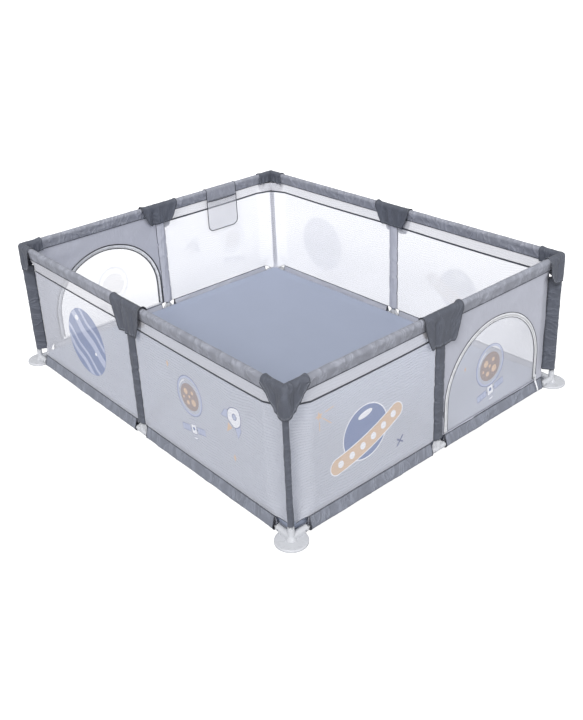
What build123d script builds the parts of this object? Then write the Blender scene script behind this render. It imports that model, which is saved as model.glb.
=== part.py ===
from build123d import *
import math
import os

# A rectangular playpen: a frame of plugged-together steel tubes on four round feet, clad in a
# sewn fabric cover with mesh walls, two arched zip doors and a padded floor mat.
# Millimetres. The origin is on the floor under the middle of the pen, +Z is up,
# +X runs along the front wall and +Y from the front wall to the back wall.

# ---- frame ----
SPACING_X = 1635.0            # between corner post axes, front and back walls
SPACING_Y = 1985.0            # between corner post axes, left and right walls
TUBE_RADIUS = 9.5
TUBE_WALL = 0.8
TOP_AXIS_Z = 646.5            # axis of the top rails
LOW_AXIS_Z = 24.5             # axis of the bottom rails

# ---- plastic connectors ----
SOCKET_RADIUS = 13.0
BORE_RADIUS = 9.6
TUBE_STOP = 14.0              # from a connector's centre to the tube's end
STOP_GAP = 0.2
RIB_HALF = 3.0                # the stop in the middle of a straight-through socket
ELBOW_REACH = 45.0
TEE_REACH = 35.0
LOW_TEE_REACH = 40.0
LOW_TEE_TOP = 62.0
WEB_HALF = 8.0                # half thickness of the flared web of a bottom tee
WEB_MARGIN = 3.0              # the web stops this far short of the sockets' ends
COUPLING_Z = 340.0            # the joint in the middle of every post
COUPLING_HALF = 45.0
COUPLING_WALL = 1.1
COLLAR_HALF = 2.0
COLLAR_STEP = 0.3             # the collar stands this far out from the tube

# ---- feet ----
PAD_RADIUS = 58.0
PAD_THICKNESS = 3.0
DISC_RADIUS = 65.0
DISC_THICKNESS = 10.0
DISC_ROUNDING = 4.0
FOOT_SOCKET_REACH = 75.0
FOOT_SOCKET_TOP = 66.0
FOOT_WEB_MARGIN = 8.0         # from the disc's rim to the end of the web under a socket
FOOT_CONE_RADIUS = 20.0       # the fillet cone round the foot of the vertical socket
FOOT_CONE_HEIGHT = 16.0

# ---- screws ----
FOOT_SCREW_REACH = 61.0       # from the corner post axis
TEE_SCREW_REACH = 31.0        # from the mid post axis
SCREW_HEAD_RADIUS = 3.2
SCREW_HEAD_HEIGHT = 1.6
SCREW_SLOT = 0.8
SCREW_SHANK_RADIUS = 1.5
SCREW_CLEARANCE = 0.05
BOSS_RADIUS = 5.0
BOSS_TOP = 14.0               # from the tube's axis to the flat that the head rests on
BOSS_DEPTH = 5.0

# ---- sewn cover ----
CLOTH = 1.2                   # thickness of one layer of cloth or mesh
SLEEVE_RADIUS = 13.5
SLEEVE_BORE = 10.2
SLEEVE_TIP_Z = 600.0          # where the top sleeve's seam meets the wall
HEM_RADIUS = 14.0
HEM_CENTRE_Z = 21.0
HEM_TIP_Z = 68.0
TIP_HALF = 1.3                # half thickness of a sleeve's sewn edge
SLEEVE_START = 55.0           # from the corner post axis to the top sleeve's end
SLEEVE_MIDDLE_GAP = 40.0
HEM_START = 90.0
HEM_MIDDLE_GAP = 45.0
SEAM_INSET = 34.5             # the corner seam stands this far in from both wall planes
SEAM_GAP = 3.0                # from the corner seam to the wall's own edge
BEND_START = 120.0            # from the corner post axis to where the wall turns in
MID_SLEEVE_HALF = 26.0
MID_SLEEVE_DEPTH = 12.5
POST_SLEEVE_RADIUS = 11.6
POST_TAIL_HALF = (6.0, 1.2)   # half thickness of the corner sleeve's tail, at the post and at the seam
POST_SLEEVE_Z = (75.0, 545.0)
MID_SLEEVE_Z = (72.0, 590.0)
COVER_INNER = 14.6
COVER_OUTER = 15.9
COVER_SIDE_Z = 639.0          # where a cover's curved outline reaches its side edge
CORNER_COVER_ARM = 120.0
CORNER_COVER_LOW_Z = 529.0
CORNER_COVER_BEND = (62.0, 571.0)   # along the rail, z: the middle of the shield's outline
COVER_INSIDE_Z = 602.0
MID_COVER_HALF = 112.0
MID_COVER_FOOT_HALF = 64.0
MID_COVER_OUT_Z = 512.0
MID_COVER_IN_Z = 552.0
MID_COVER_BOW = (0.72, 0.55)  # the outline's middle, as shares of the half width and of the height

# ---- doors ----
DOOR_CENTRE_X = 360.0         # from the mid post, to the right as seen from outside
DOOR_HALF = 310.0
DOOR_LOW_Z = 75.0
DOOR_SPRING_Z = 205.0
DOOR_RISE = 291.0
DOOR_GAP = 3.0                # the zip's opening, each side of its centre line
TAPE_OUT = 9.0                # the zip tape's edges, outwards from the door's outline
TAPE_IN = -1.0
SLIDER_X = DOOR_CENTRE_X + DOOR_HALF + (TAPE_OUT + TAPE_IN) / 2
SLIDER_Z = 98.0
SLIDER_SIZE = (8.0, 3.0, 14.0)
SLIDER_ROUNDING = 2.0
SLIDER_CLEARANCE = 0.3
SLIDER_BACK = -1.5 * CLOTH - SLIDER_CLEARANCE
EAR_THICKNESS = 1.2
EAR_HALF = 2.0
PIN_RADIUS = 0.8
PIN_BORE = 0.88
PULL_BARREL = 1.7
PULL_LENGTH = 30.0
PULL_WIDTH = 5.0
PULL_HALF_THICKNESS = 0.8
PULL_ROUNDING = 1.2
PULL_HOLE = (1.2, 5.0)        # radius, and distance from the tab's free end
PIN_Y = SLIDER_BACK - SLIDER_SIZE[1] - PULL_BARREL - 0.4
PIN_Z = SLIDER_Z + 3.0

# ---- mat and pocket ----
MAT_INSET = 20.0
MAT_Z = (1.0, 45.0)
MAT_STEP_Z = 15.0             # below this the corners are cut back round the feet
MAT_CHAMFER = 56.0
MAT_CORNER = 12.0
MAT_COVER = 1.6
POCKET_X = -425.0             # from the mid post, to the right as seen from outside
POCKET_HALF = 105.0
POCKET_LOW_Z = 410.0
POCKET_MOUTH_Z = 590.0
POCKET_CORNER = 35.0
POCKET_DEPTH = 10.6
POCKET_FLAP_Z = 626.0

# side name: turn about Z, length of the wall, distance of the wall from the middle
SIDES = {
    "front": (0, SPACING_X, SPACING_Y / 2),
    "right": (90, SPACING_Y, SPACING_X / 2),
    "back": (180, SPACING_X, SPACING_Y / 2),
    "left": (270, SPACING_Y, SPACING_X / 2),
}
DOOR_SIDES = ("front", "back")
# the names of each side's left and right halves, as seen from outside
WALL_HALVES = {
    "front": ("left", "right"),
    "right": ("front", "back"),
    "back": ("right", "left"),
    "left": ("back", "front"),
}
CORNERS = {
    "front_left": (-1, -1),
    "front_right": (1, -1),
    "back_left": (-1, 1),
    "back_right": (1, 1),
}


def at_side(shape, side):
    """A wall part is drawn with +X to the right as seen from outside, and -Y outwards."""
    turn, _, away = SIDES[side]
    return Rot(0, 0, turn) * Pos(0, -away, 0) * shape


def at_corner(shape, corner):
    """A corner part is drawn with its post on the Z axis and the two walls along +X and +Y."""
    sign_x, sign_y = CORNERS[corner]
    if sign_x > 0:
        shape = mirror(shape, about=Plane.YZ)
    if sign_y > 0:
        shape = mirror(shape, about=Plane.XZ)
    return Pos(sign_x * SPACING_X / 2, sign_y * SPACING_Y / 2, 0) * shape


def across(shape):
    """The same shape on the other rail of a corner."""
    return mirror(shape, about=Plane(origin=(0, 0, 0), z_dir=(1, -1, 0)))


def save(name, *shapes):
    solids = [solid for shape in shapes for solid in shape.solids()]
    export_step(Compound(children=solids), f"parts/{name}.step")


# ---- plain shapes ----
def bar_x(radius, start, end, z):
    return Pos((start + end) / 2, 0, z) * Rot(0, 90, 0) * Cylinder(radius, end - start)


def bar_y(radius, start, end, z):
    return Rot(0, 0, 90) * bar_x(radius, start, end, z)


def bar_z(radius, low, high):
    return Pos(0, 0, (low + high) / 2) * Cylinder(radius, high - low)


def block(x, y, z):
    """A box from its three (low, high) pairs."""
    size = Box(x[1] - x[0], y[1] - y[0], z[1] - z[0])
    return Pos((x[0] + x[1]) / 2, (y[0] + y[1]) / 2, (z[0] + z[1]) / 2) * size


def teardrop(radius, centre_z, tip_z, bore_z):
    """The cross-section of cloth sewn round a tube: a round top or bottom drawn in to a flat seam."""
    drop = abs(tip_z - centre_z)
    spread = math.acos(radius / drop)
    towards = 1 if tip_z > centre_z else -1
    side_y = radius * math.sin(spread)
    side_z = centre_z + towards * radius * math.cos(spread)
    taper = [(-side_y, side_z), (side_y, side_z), (TIP_HALF, tip_z), (-TIP_HALF, tip_z)]
    body = Pos(0, centre_z) * Circle(radius) + Polygon(*taper[::towards], align=None)
    return body - Pos(0, bore_z) * Circle(SLEEVE_BORE)


def along_x(section, start, end):
    return Pos(start, 0, 0) * extrude(Plane.YZ * section, end - start)


# ---- tubes ----
def rail_pair(length, z):
    start, end = RIB_HALF, length / 2 - TUBE_STOP
    half = bar_x(TUBE_RADIUS, start, end, z) - bar_x(TUBE_RADIUS - TUBE_WALL, start - 1, end + 1, z)
    return half, mirror(half, about=Plane.YZ)


def post():
    """An upper and a lower tube on an inner coupling whose collar shows between them."""
    bore = TUBE_RADIUS - TUBE_WALL
    low, high = LOW_AXIS_Z + TUBE_STOP, TOP_AXIS_Z - TUBE_STOP
    gap = COLLAR_HALF + STOP_GAP
    lower = bar_z(TUBE_RADIUS, low, COUPLING_Z - gap) - bar_z(bore, low - 1, COUPLING_Z)
    upper = bar_z(TUBE_RADIUS, COUPLING_Z + gap, high) - bar_z(bore, COUPLING_Z, high + 1)
    plug, low_end, high_end = bore - 0.1, COUPLING_Z - COUPLING_HALF, COUPLING_Z + COUPLING_HALF
    coupling = bar_z(plug, low_end, high_end)
    coupling += bar_z(TUBE_RADIUS + COLLAR_STEP, COUPLING_Z - COLLAR_HALF, COUPLING_Z + COLLAR_HALF)
    coupling -= bar_z(plug - COUPLING_WALL, low_end - 1, high_end + 1)
    return lower, upper, coupling


# ---- connectors ----
def bore_both_ways(body, reach, z):
    """Bores a straight-through socket from both ends, up to the stop in its middle."""
    for start, end in ((-reach - 1, STOP_GAP - RIB_HALF), (RIB_HALF - STOP_GAP, reach + 1)):
        body -= bar_x(BORE_RADIUS, start, end, z)
    return body


def top_elbow():
    """A three-way corner connector, hidden under the corner cover."""
    z = TOP_AXIS_Z
    body = bar_x(SOCKET_RADIUS, 0, ELBOW_REACH, z) + bar_y(SOCKET_RADIUS, 0, ELBOW_REACH, z)
    body += bar_z(SOCKET_RADIUS, z - ELBOW_REACH, z) + Pos(0, 0, z) * Sphere(SOCKET_RADIUS)
    stop = TUBE_STOP - STOP_GAP
    body -= bar_x(BORE_RADIUS, stop, ELBOW_REACH + 1, z)
    body -= bar_y(BORE_RADIUS, stop, ELBOW_REACH + 1, z)
    return body - bar_z(BORE_RADIUS, z - ELBOW_REACH - 1, z - stop)


def top_tee():
    """Joins the two rails of a side and the mid post, hidden under the mid cover."""
    z = TOP_AXIS_Z
    body = bar_x(SOCKET_RADIUS, -TEE_REACH, TEE_REACH, z) + bar_z(SOCKET_RADIUS, z - ELBOW_REACH, z)
    body = bore_both_ways(body, TEE_REACH, z)
    return body - bar_z(BORE_RADIUS, z - ELBOW_REACH - 1, z - TUBE_STOP + STOP_GAP)


def low_tee_screws():
    """Where the screws of a bottom tee go in: (x, z) on its outer face."""
    return [(x, LOW_AXIS_Z) for x in (-TEE_SCREW_REACH, TEE_SCREW_REACH)]


def screw_bore():
    radius, middle = SCREW_SHANK_RADIUS + SCREW_CLEARANCE, (BORE_RADIUS + BOSS_TOP) / 2
    return Rot(90, 0, 0) * Pos(0, 0, middle) * Cylinder(radius, BOSS_TOP - BORE_RADIUS + 2)


def screw():
    """A pan-head screw through a socket's outer wall, its head on a flat boss."""
    tip, seat = BORE_RADIUS + 0.1, BOSS_TOP
    shank = Pos(0, 0, (tip + seat) / 2) * Cylinder(SCREW_SHANK_RADIUS, seat - tip)
    head = Pos(0, 0, seat + SCREW_HEAD_HEIGHT / 2) * Cylinder(SCREW_HEAD_RADIUS, SCREW_HEAD_HEIGHT)
    slot = Pos(0, 0, seat + SCREW_HEAD_HEIGHT) * Box(
        2 * SCREW_HEAD_RADIUS + 1, SCREW_SLOT, 1.5 * SCREW_SLOT)
    return Rot(90, 0, 0) * (shank + head - slot - Rot(0, 0, 90) * slot)


def screw_boss():
    return Rot(90, 0, 0) * Pos(0, 0, BOSS_TOP - BOSS_DEPTH / 2) * Cylinder(BOSS_RADIUS, BOSS_DEPTH)


def low_tee():
    """The white tee at the foot of a mid post, with a web flared towards the post."""
    z = LOW_AXIS_Z
    body = bar_x(SOCKET_RADIUS, -LOW_TEE_REACH, LOW_TEE_REACH, z)
    body += bar_z(SOCKET_RADIUS, z, LOW_TEE_TOP)
    wide, high = LOW_TEE_REACH - WEB_MARGIN, LOW_TEE_TOP - WEB_MARGIN
    web = Polygon((-wide, z), (wide, z), (SOCKET_RADIUS, high), (-SOCKET_RADIUS, high), align=None)
    body += extrude(Plane.XZ * web, WEB_HALF, both=True)
    for x, screw_z in low_tee_screws():
        body += Pos(x, 0, screw_z) * screw_boss()
    body = bore_both_ways(body, LOW_TEE_REACH, z)
    body -= bar_z(BORE_RADIUS, z + TUBE_STOP - STOP_GAP, LOW_TEE_TOP + 1)
    for x, screw_z in low_tee_screws():
        body -= Pos(x, 0, screw_z) * screw_bore()
    return body


def foot():
    """A round foot with two sockets for the bottom rails and one for the corner post."""
    z = LOW_AXIS_Z
    top = PAD_THICKNESS + DISC_THICKNESS
    disc = bar_z(DISC_RADIUS, PAD_THICKNESS, top)
    rims = disc.edges().filter_by(GeomType.CIRCLE)
    disc = fillet(rims.sort_by(Axis.Z)[-1], DISC_ROUNDING)
    socket = bar_x(SOCKET_RADIUS, 0, FOOT_SOCKET_REACH, z)
    socket += block((0, DISC_RADIUS - FOOT_WEB_MARGIN), (-SOCKET_RADIUS, SOCKET_RADIUS), (top - 2, z))
    socket += Pos(FOOT_SCREW_REACH, 0, z) * screw_boss()
    body = disc + socket + across(socket) + bar_z(SOCKET_RADIUS, top - 1, FOOT_SOCKET_TOP)
    standing = (Align.CENTER, Align.CENTER, Align.MIN)
    body += Pos(0, 0, top) * Cone(FOOT_CONE_RADIUS, SOCKET_RADIUS, FOOT_CONE_HEIGHT, align=standing)
    stop = TUBE_STOP - STOP_GAP
    cut = bar_x(BORE_RADIUS, stop, FOOT_SOCKET_REACH + 1, z) + Pos(FOOT_SCREW_REACH, 0, z) * screw_bore()
    body -= cut
    body -= across(cut)
    return body - bar_z(BORE_RADIUS, z + stop, FOOT_SOCKET_TOP + 1)


def foot_screws():
    one = Pos(FOOT_SCREW_REACH, 0, LOW_AXIS_Z) * screw()
    return one, across(one)


# ---- sewn cover ----
def sleeve_pair(length):
    section = teardrop(SLEEVE_RADIUS, TOP_AXIS_Z, SLEEVE_TIP_Z, TOP_AXIS_Z)
    half = along_x(section, SLEEVE_MIDDLE_GAP, length / 2 - SLEEVE_START)
    return half, mirror(half, about=Plane.YZ)


def hem_pair(length):
    section = teardrop(HEM_RADIUS, HEM_CENTRE_Z, HEM_TIP_Z, LOW_AXIS_Z)
    half = along_x(section, HEM_MIDDLE_GAP, length / 2 - HEM_START)
    return half, mirror(half, about=Plane.YZ)


def wall_half(length):
    """The right half of a wall, from the mid post's sleeve to the corner seam, which stands inwards."""
    bend, seam = length / 2 - BEND_START, length / 2 - SEAM_INSET - SEAM_GAP
    plan = [(MID_SLEEVE_HALF + SEAM_GAP / 2, 0), (bend, 0), (seam, SEAM_INSET)]
    edge = [(x, y - CLOTH / 2) for x, y in plan] + [(x, y + CLOTH / 2) for x, y in reversed(plan)]
    return Pos(0, 0, HEM_TIP_Z) * extrude(Polygon(*edge, align=None), SLEEVE_TIP_Z - HEM_TIP_Z)


def above(low):
    """Everything of the door's face that is higher than low."""
    high = DOOR_SPRING_Z + 2 * DOOR_RISE
    return Pos(DOOR_CENTRE_X, (low + high) / 2) * Rectangle(4 * DOOR_HALF, high - low)


def arch(grow):
    """The door's outline, straight legs under half an ellipse, made wider by grow on each side."""
    half, low = DOOR_HALF + grow, DOOR_LOW_Z - grow
    top = Pos(DOOR_CENTRE_X, DOOR_SPRING_Z) * Ellipse(half, DOOR_RISE + grow)
    legs = Pos(DOOR_CENTRE_X, (low + DOOR_SPRING_Z) / 2) * Rectangle(2 * half, DOOR_SPRING_Z - low)
    return (top + legs) & above(low)


def door_surround(length):
    return wall_half(length) - extrude(Plane.XZ * arch(DOOR_GAP), BEND_START, both=True)


def door_flap():
    return extrude(Plane.XZ * arch(-DOOR_GAP), CLOTH / 2, both=True)


def zip_tape():
    """The half of the zip that is sewn to the door surround, up one leg, over and down the other."""
    ring = (arch(TAPE_OUT) - arch(TAPE_IN)) & above(DOOR_LOW_Z - TAPE_IN)
    return Pos(0, -CLOTH / 2, 0) * extrude(Plane.XZ * ring, CLOTH)


def pin(radius, half):
    return Pos(SLIDER_X, PIN_Y, PIN_Z) * Rot(0, 90, 0) * Cylinder(radius, 2 * half)


def zip_slider():
    wide, deep, high = SLIDER_SIZE
    body = Pos(SLIDER_X, SLIDER_BACK - deep / 2, SLIDER_Z) * Box(wide, deep, high)
    body = fillet(body.edges().filter_by(Axis.Y), SLIDER_ROUNDING)
    depth = (PIN_Y - PULL_BARREL, SLIDER_BACK - deep / 2)
    height = (PIN_Z - EAR_HALF, PIN_Z + EAR_HALF)
    for start in (SLIDER_X - wide / 2, SLIDER_X + wide / 2 - EAR_THICKNESS):
        body += block((start, start + EAR_THICKNESS), depth, height)
    return body + pin(PIN_RADIUS, wide / 2)


def zip_pull():
    """A flat tab that hangs from the slider's pin."""
    outline = RectangleRounded(PULL_WIDTH, PULL_LENGTH, PULL_ROUNDING)
    face = Pos(SLIDER_X, PIN_Z - PULL_LENGTH / 2) * outline
    tab = Pos(0, PIN_Y, 0) * extrude(Plane.XZ * face, PULL_HALF_THICKNESS, both=True)
    hole_radius, hole_up = PULL_HOLE
    place = Pos(SLIDER_X, PIN_Y, PIN_Z - PULL_LENGTH + hole_up)
    hole = place * Rot(90, 0, 0) * Cylinder(hole_radius, 4 * PULL_HALF_THICKNESS)
    return pin(PULL_BARREL, PULL_WIDTH / 2) + tab - hole - pin(PIN_BORE, PULL_WIDTH)


def over_rail(radius, start, end, low):
    """A rail wrapped in a round top with straight sides, down to low."""
    sides = block((start, end), (-radius, radius), (low, TOP_AXIS_Z))
    return bar_x(radius, start, end, TOP_AXIS_Z) + sides


def corner_cover():
    """A fitted cap over the top corner: a shield down the outside of the post, a short skirt inside."""
    arm, low, side_z = CORNER_COVER_ARM, CORNER_COVER_LOW_Z, COVER_SIDE_Z
    top, past = TOP_AXIS_Z + COVER_OUTER + 1, -COVER_OUTER - 1

    def wrapped(radius, reach, floor):
        along = over_rail(radius, 0, reach, floor)
        post_top = bar_z(radius, floor, TOP_AXIS_Z) + Pos(0, 0, TOP_AXIS_Z) * Sphere(radius)
        return along + across(along) + post_top

    floor = low - COVER_OUTER
    shell = wrapped(COVER_OUTER, arm, floor) - wrapped(COVER_INNER, arm + 1, floor - 1)
    hem = Spline((0, low), CORNER_COVER_BEND, (arm, side_z), tangents=((1, 0), (1, 1.2)))
    border = hem + Polyline((arm, side_z), (arm, top), (past, top), (past, low), (0, low))
    shield = extrude(Plane.XZ * make_face(border), COVER_OUTER + 1)
    inside = block((0, arm), (0, arm), (COVER_INSIDE_Z, top))
    return (shell & shield) + (shell & across(shield)) + (shell & inside)


def mid_cover():
    """A saddle over the rail and the top of a mid post."""
    half, foot_half, side_z = MID_COVER_HALF, MID_COVER_FOOT_HALF, COVER_SIDE_Z
    top, floor = TOP_AXIS_Z + COVER_OUTER + 1, MID_COVER_OUT_Z - COVER_OUTER
    shell = over_rail(COVER_OUTER, -half, half, floor)
    shell -= over_rail(COVER_INNER, -half - 1, half + 1, floor - 1)

    def drape(low):
        bow_x, bow_z = half * MID_COVER_BOW[0], low + MID_COVER_BOW[1] * (side_z - low)
        right = ThreePointArc((foot_half, low), (bow_x, bow_z), (half, side_z))
        left = ThreePointArc((-half, side_z), (-bow_x, bow_z), (-foot_half, low))
        border = right + Polyline((half, side_z), (half, top), (-half, top), (-half, side_z))
        return make_face(border + left + Line((-foot_half, low), (foot_half, low)))

    outside = extrude(Plane.XZ * drape(MID_COVER_OUT_Z), COVER_OUTER + 1)
    inside = extrude(Plane.XZ * drape(MID_COVER_IN_Z), -COVER_OUTER - 1)
    return (shell & outside) + (shell & inside)


def corner_sleeve():
    """A flat sleeve round a corner post, sewn in the corner's diagonal out to the wall seam."""
    reach = (SEAM_INSET - 2) * math.sqrt(2)
    near, far = POST_TAIL_HALF
    tail = Rot(0, 0, 45) * Polygon((0, -near), (reach, -far), (reach, far), (0, near), align=None)
    low, high = POST_SLEEVE_Z
    section = Circle(POST_SLEEVE_RADIUS) + tail - Circle(SLEEVE_BORE)
    return Pos(0, 0, low) * extrude(section, high - low)


def mid_sleeve():
    low, high = MID_SLEEVE_Z
    section = Ellipse(MID_SLEEVE_HALF, MID_SLEEVE_DEPTH) - Circle(SLEEVE_BORE)
    return Pos(0, 0, low) * extrude(section, high - low)


def mat():
    """A padded mat: a cloth casing with its corners cut back underneath to clear the feet."""
    x, y = SPACING_X / 2 - MAT_INSET, SPACING_Y / 2 - MAT_INSET
    low, high = MAT_Z
    plan = chamfer(Rectangle(2 * x, 2 * y).vertices(), MAT_CHAMFER)
    body = Pos(0, 0, low) * extrude(plan, MAT_STEP_Z - low)
    body += Pos(0, 0, MAT_STEP_Z) * extrude(RectangleRounded(2 * x, 2 * y, MAT_CORNER), high - MAT_STEP_Z)
    shrink = 2 * MAT_COVER
    room = chamfer(Rectangle(2 * x - shrink, 2 * y - shrink).vertices(), MAT_CHAMFER + 1)
    return body - Pos(0, 0, low + MAT_COVER) * extrude(room, high - low - shrink)


def pocket():
    """A pouch on the inside, hung from a flap over the top rail."""
    left, right = POCKET_X - POCKET_HALF, POCKET_X + POCKET_HALF
    top = TOP_AXIS_Z + COVER_OUTER + 1
    width = (left - 1, right + 1)
    hang = over_rail(COVER_OUTER, left, right, POCKET_LOW_Z)
    hang -= over_rail(COVER_INNER, left - 1, right + 1, POCKET_LOW_Z - 1)
    outer_skirt = block(width, (-COVER_OUTER - 1, 0), (POCKET_FLAP_Z, top))
    inner_skirt = block(width, (0, COVER_OUTER + 1), (POCKET_MOUTH_Z - CLOTH, top))

    def pouch(shrink, near, far, high):
        wide, low = POCKET_HALF - shrink, POCKET_LOW_Z + shrink
        face = Pos(POCKET_X, (low + high) / 2) * Rectangle(2 * wide, high - low)
        face = fillet(face.vertices().group_by(Axis.Y)[0], POCKET_CORNER - shrink)
        return Pos(0, far, 0) * extrude(Plane.XZ * face, far - near)

    front = COVER_INNER + POCKET_DEPTH
    bag = pouch(0, COVER_INNER, front, POCKET_MOUTH_Z)
    bag -= pouch(CLOTH, COVER_OUTER, front - CLOTH, POCKET_MOUTH_Z + 1)
    return (hang & outer_skirt) + (hang & inner_skirt) + bag


def build():
    os.makedirs("parts", exist_ok=True)

    for corner in CORNERS:
        save(f"corner_post_{corner}", *[at_corner(piece, corner) for piece in post()])
        save(f"top_elbow_{corner}", at_corner(top_elbow(), corner))
        save(f"corner_foot_{corner}", at_corner(foot(), corner))
    save("mid_posts", *[at_side(piece, side) for side in SIDES for piece in post()])
    save("foot_pads", *[at_corner(bar_z(PAD_RADIUS, 0, PAD_THICKNESS), corner) for corner in CORNERS])

    for side, (_, length, _) in SIDES.items():
        save(f"top_rails_{side}", *[at_side(rail, side) for rail in rail_pair(length, TOP_AXIS_Z)])
        save(f"bottom_rails_{side}", *[at_side(rail, side) for rail in rail_pair(length, LOW_AXIS_Z)])
        save(f"top_tee_{side}", at_side(top_tee(), side))
        save(f"bottom_tee_{side}", at_side(low_tee(), side))
        save(f"top_sleeve_{side}", *[at_side(half, side) for half in sleeve_pair(length)])
        save(f"bottom_hem_{side}", *[at_side(half, side) for half in hem_pair(length)])

    screws = [at_corner(one, corner) for corner in CORNERS for one in foot_screws()]
    screws += [at_side(Pos(x, 0, z) * screw(), side) for side in SIDES for x, z in low_tee_screws()]
    save("fixing_screws", *screws)

    for side, (left_half, right_half) in WALL_HALVES.items():
        length = SIDES[side][1]
        right = wall_half(length)
        save(f"mesh_wall_{side}_{left_half}", at_side(mirror(right, about=Plane.YZ), side))
        if side in DOOR_SIDES:
            save(f"door_surround_{side}", at_side(door_surround(length), side))
            save(f"door_flap_{side}", at_side(door_flap(), side))
            save(f"zip_tape_{side}", at_side(zip_tape(), side))
            save(f"zip_slider_{side}", at_side(zip_slider(), side))
            save(f"zip_pull_{side}", at_side(zip_pull(), side))
        else:
            save(f"mesh_wall_{side}_{right_half}", at_side(right, side))

    save("corner_covers", *[at_corner(corner_cover(), corner) for corner in CORNERS])
    save("mid_covers", *[at_side(mid_cover(), side) for side in SIDES])
    sleeves = [at_corner(corner_sleeve(), corner) for corner in CORNERS]
    save("post_sleeves", *sleeves, *[at_side(mid_sleeve(), side) for side in SIDES])
    save("floor_mat", mat())
    save("storage_pocket", at_side(pocket(), "back"))


build()
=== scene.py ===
import math

import bmesh
import bpy
from mathutils import Matrix, Vector, geometry, noise


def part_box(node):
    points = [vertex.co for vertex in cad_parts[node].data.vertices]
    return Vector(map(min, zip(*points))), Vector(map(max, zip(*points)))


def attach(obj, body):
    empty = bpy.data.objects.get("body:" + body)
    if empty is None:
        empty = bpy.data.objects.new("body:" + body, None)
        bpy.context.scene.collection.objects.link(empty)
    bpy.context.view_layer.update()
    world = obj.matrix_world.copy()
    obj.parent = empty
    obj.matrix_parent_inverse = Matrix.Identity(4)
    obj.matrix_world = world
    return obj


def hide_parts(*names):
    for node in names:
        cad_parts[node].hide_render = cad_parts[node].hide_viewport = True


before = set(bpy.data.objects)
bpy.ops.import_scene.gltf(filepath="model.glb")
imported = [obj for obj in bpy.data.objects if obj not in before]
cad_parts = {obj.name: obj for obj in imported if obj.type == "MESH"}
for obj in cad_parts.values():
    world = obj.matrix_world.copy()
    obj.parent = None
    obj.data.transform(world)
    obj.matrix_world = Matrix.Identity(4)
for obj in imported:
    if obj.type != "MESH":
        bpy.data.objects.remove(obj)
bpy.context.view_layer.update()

bl_info = {
    "name": "Fabric playpen",
    "version": (1, 0, 0),
    "blender": (4, 5, 0),
    "location": "3D View > Sidebar > Playpen",
    "description": "Builds the cloth, net, padding and finishes of a playpen round its frame",
    "category": "Object",
}


# ---------------------------------------------------------------- places taken from the frame
def middle(node):
    low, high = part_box(node)
    return (low + high) / 2


POST_X = middle("corner_post_front_right").x
POST_Y = middle("corner_post_back_left").y
RAIL_Z = middle("top_rails_front").z
SLEEVE_TIP_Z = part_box("top_sleeve_front")[0].z
SLEEVE_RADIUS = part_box("top_sleeve_front")[1].z - RAIL_Z
SLEEVE_END = POST_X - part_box("top_sleeve_front")[1].x      # from a corner post's axis
SLEEVE_GAP = 0.040                                         # from the middle of a wall
HEM_TIP_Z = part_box("bottom_hem_front")[1].z
HEM_RADIUS = 0.014
HEM_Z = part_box("bottom_hem_front")[0].z + HEM_RADIUS
HEM_END = POST_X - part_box("bottom_hem_front")[1].x
HEM_GAP = 0.045
MAT_LOW, MAT_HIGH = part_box("floor_mat")
DOOR_GAP = 0.003           # from the zip's line to the flap, and to the cloth round it
DOOR_LOW_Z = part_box("door_flap_front")[0].z - DOOR_GAP
DOOR_TOP_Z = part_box("door_flap_front")[1].z + DOOR_GAP
DOOR_CENTRE = middle("door_flap_front").x
DOOR_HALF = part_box("door_flap_front")[1].x - DOOR_CENTRE + DOOR_GAP
DOOR_SPRING_Z = 0.205      # where the straight legs of the arch end
ZIP_FOOT = 0.009           # a flap's zip starts this far up, clear of the seam that it folds on
SEAM_INSET = 0.0345        # how far the corner seam stands in from both wall planes
BEND_START = 0.120         # from a corner post's axis to where the wall turns in
MID_SEAM = 0.026           # from the middle of a wall to the seam beside its post
POST_JOINT_Z = 0.340       # the coupling inside every post, which shows through its sleeve
CORNER_SLEEVE_Z = (0.075, 0.545)
MID_SLEEVE_Z = (0.072, 0.590)
MID_PINCHES = (0.165, 0.262, POST_JOINT_Z, 0.425)          # heights where a mid sleeve is drawn in
COVER_SIDE_Z = 0.640       # where a cover's hem meets the end of its rail arm
COVER_CLOTH = 0.0015
TAPE_CLOTH = 0.0009


class Wall:
    """One side of the pen. s runs to the right as seen from outside, out is outwards from the post axes."""

    def __init__(self, name, right, outward, half, away, left_end, right_end, seed):
        self.name, self.seed = name, seed
        self.right, self.outward = Vector(right), Vector(outward)
        self.half, self.away = half, away
        self.ends = {-1: left_end, 1: right_end}

    def at(self, s, out, z):
        return self.right * s + self.outward * (self.away + out) + Vector((0, 0, z))


WALLS = {
    "front": Wall("front", (1, 0, 0), (0, -1, 0), POST_X, POST_Y, "left", "right", 11.3),
    "right": Wall("right", (0, 1, 0), (1, 0, 0), POST_Y, POST_X, "front", "back", 23.7),
    "back": Wall("back", (-1, 0, 0), (0, 1, 0), POST_X, POST_Y, "right", "left", 37.1),
    "left": Wall("left", (0, -1, 0), (-1, 0, 0), POST_Y, POST_X, "back", "front", 41.9),
}
DOOR_WALLS = ("front", "back")


class Corner:
    """One corner of the pen. a and b run inwards from its post along the two walls."""

    def __init__(self, name, sign_x, sign_y, seed):
        self.name, self.seed = name, seed
        self.post = Vector((sign_x * POST_X, sign_y * POST_Y, 0))
        self.along_a, self.along_b = Vector((-sign_x, 0, 0)), Vector((0, -sign_y, 0))
        self.mirrored = sign_x * sign_y < 0

    def at(self, a, b, z):
        return self.post + self.along_a * a + self.along_b * b + Vector((0, 0, z))


CORNERS = {
    "front_left": Corner("front_left", -1, -1, 3.1),
    "front_right": Corner("front_right", 1, -1, 5.7),
    "back_left": Corner("back_left", -1, 1, 7.9),
    "back_right": Corner("back_right", 1, 1, 9.3),
}


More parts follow.
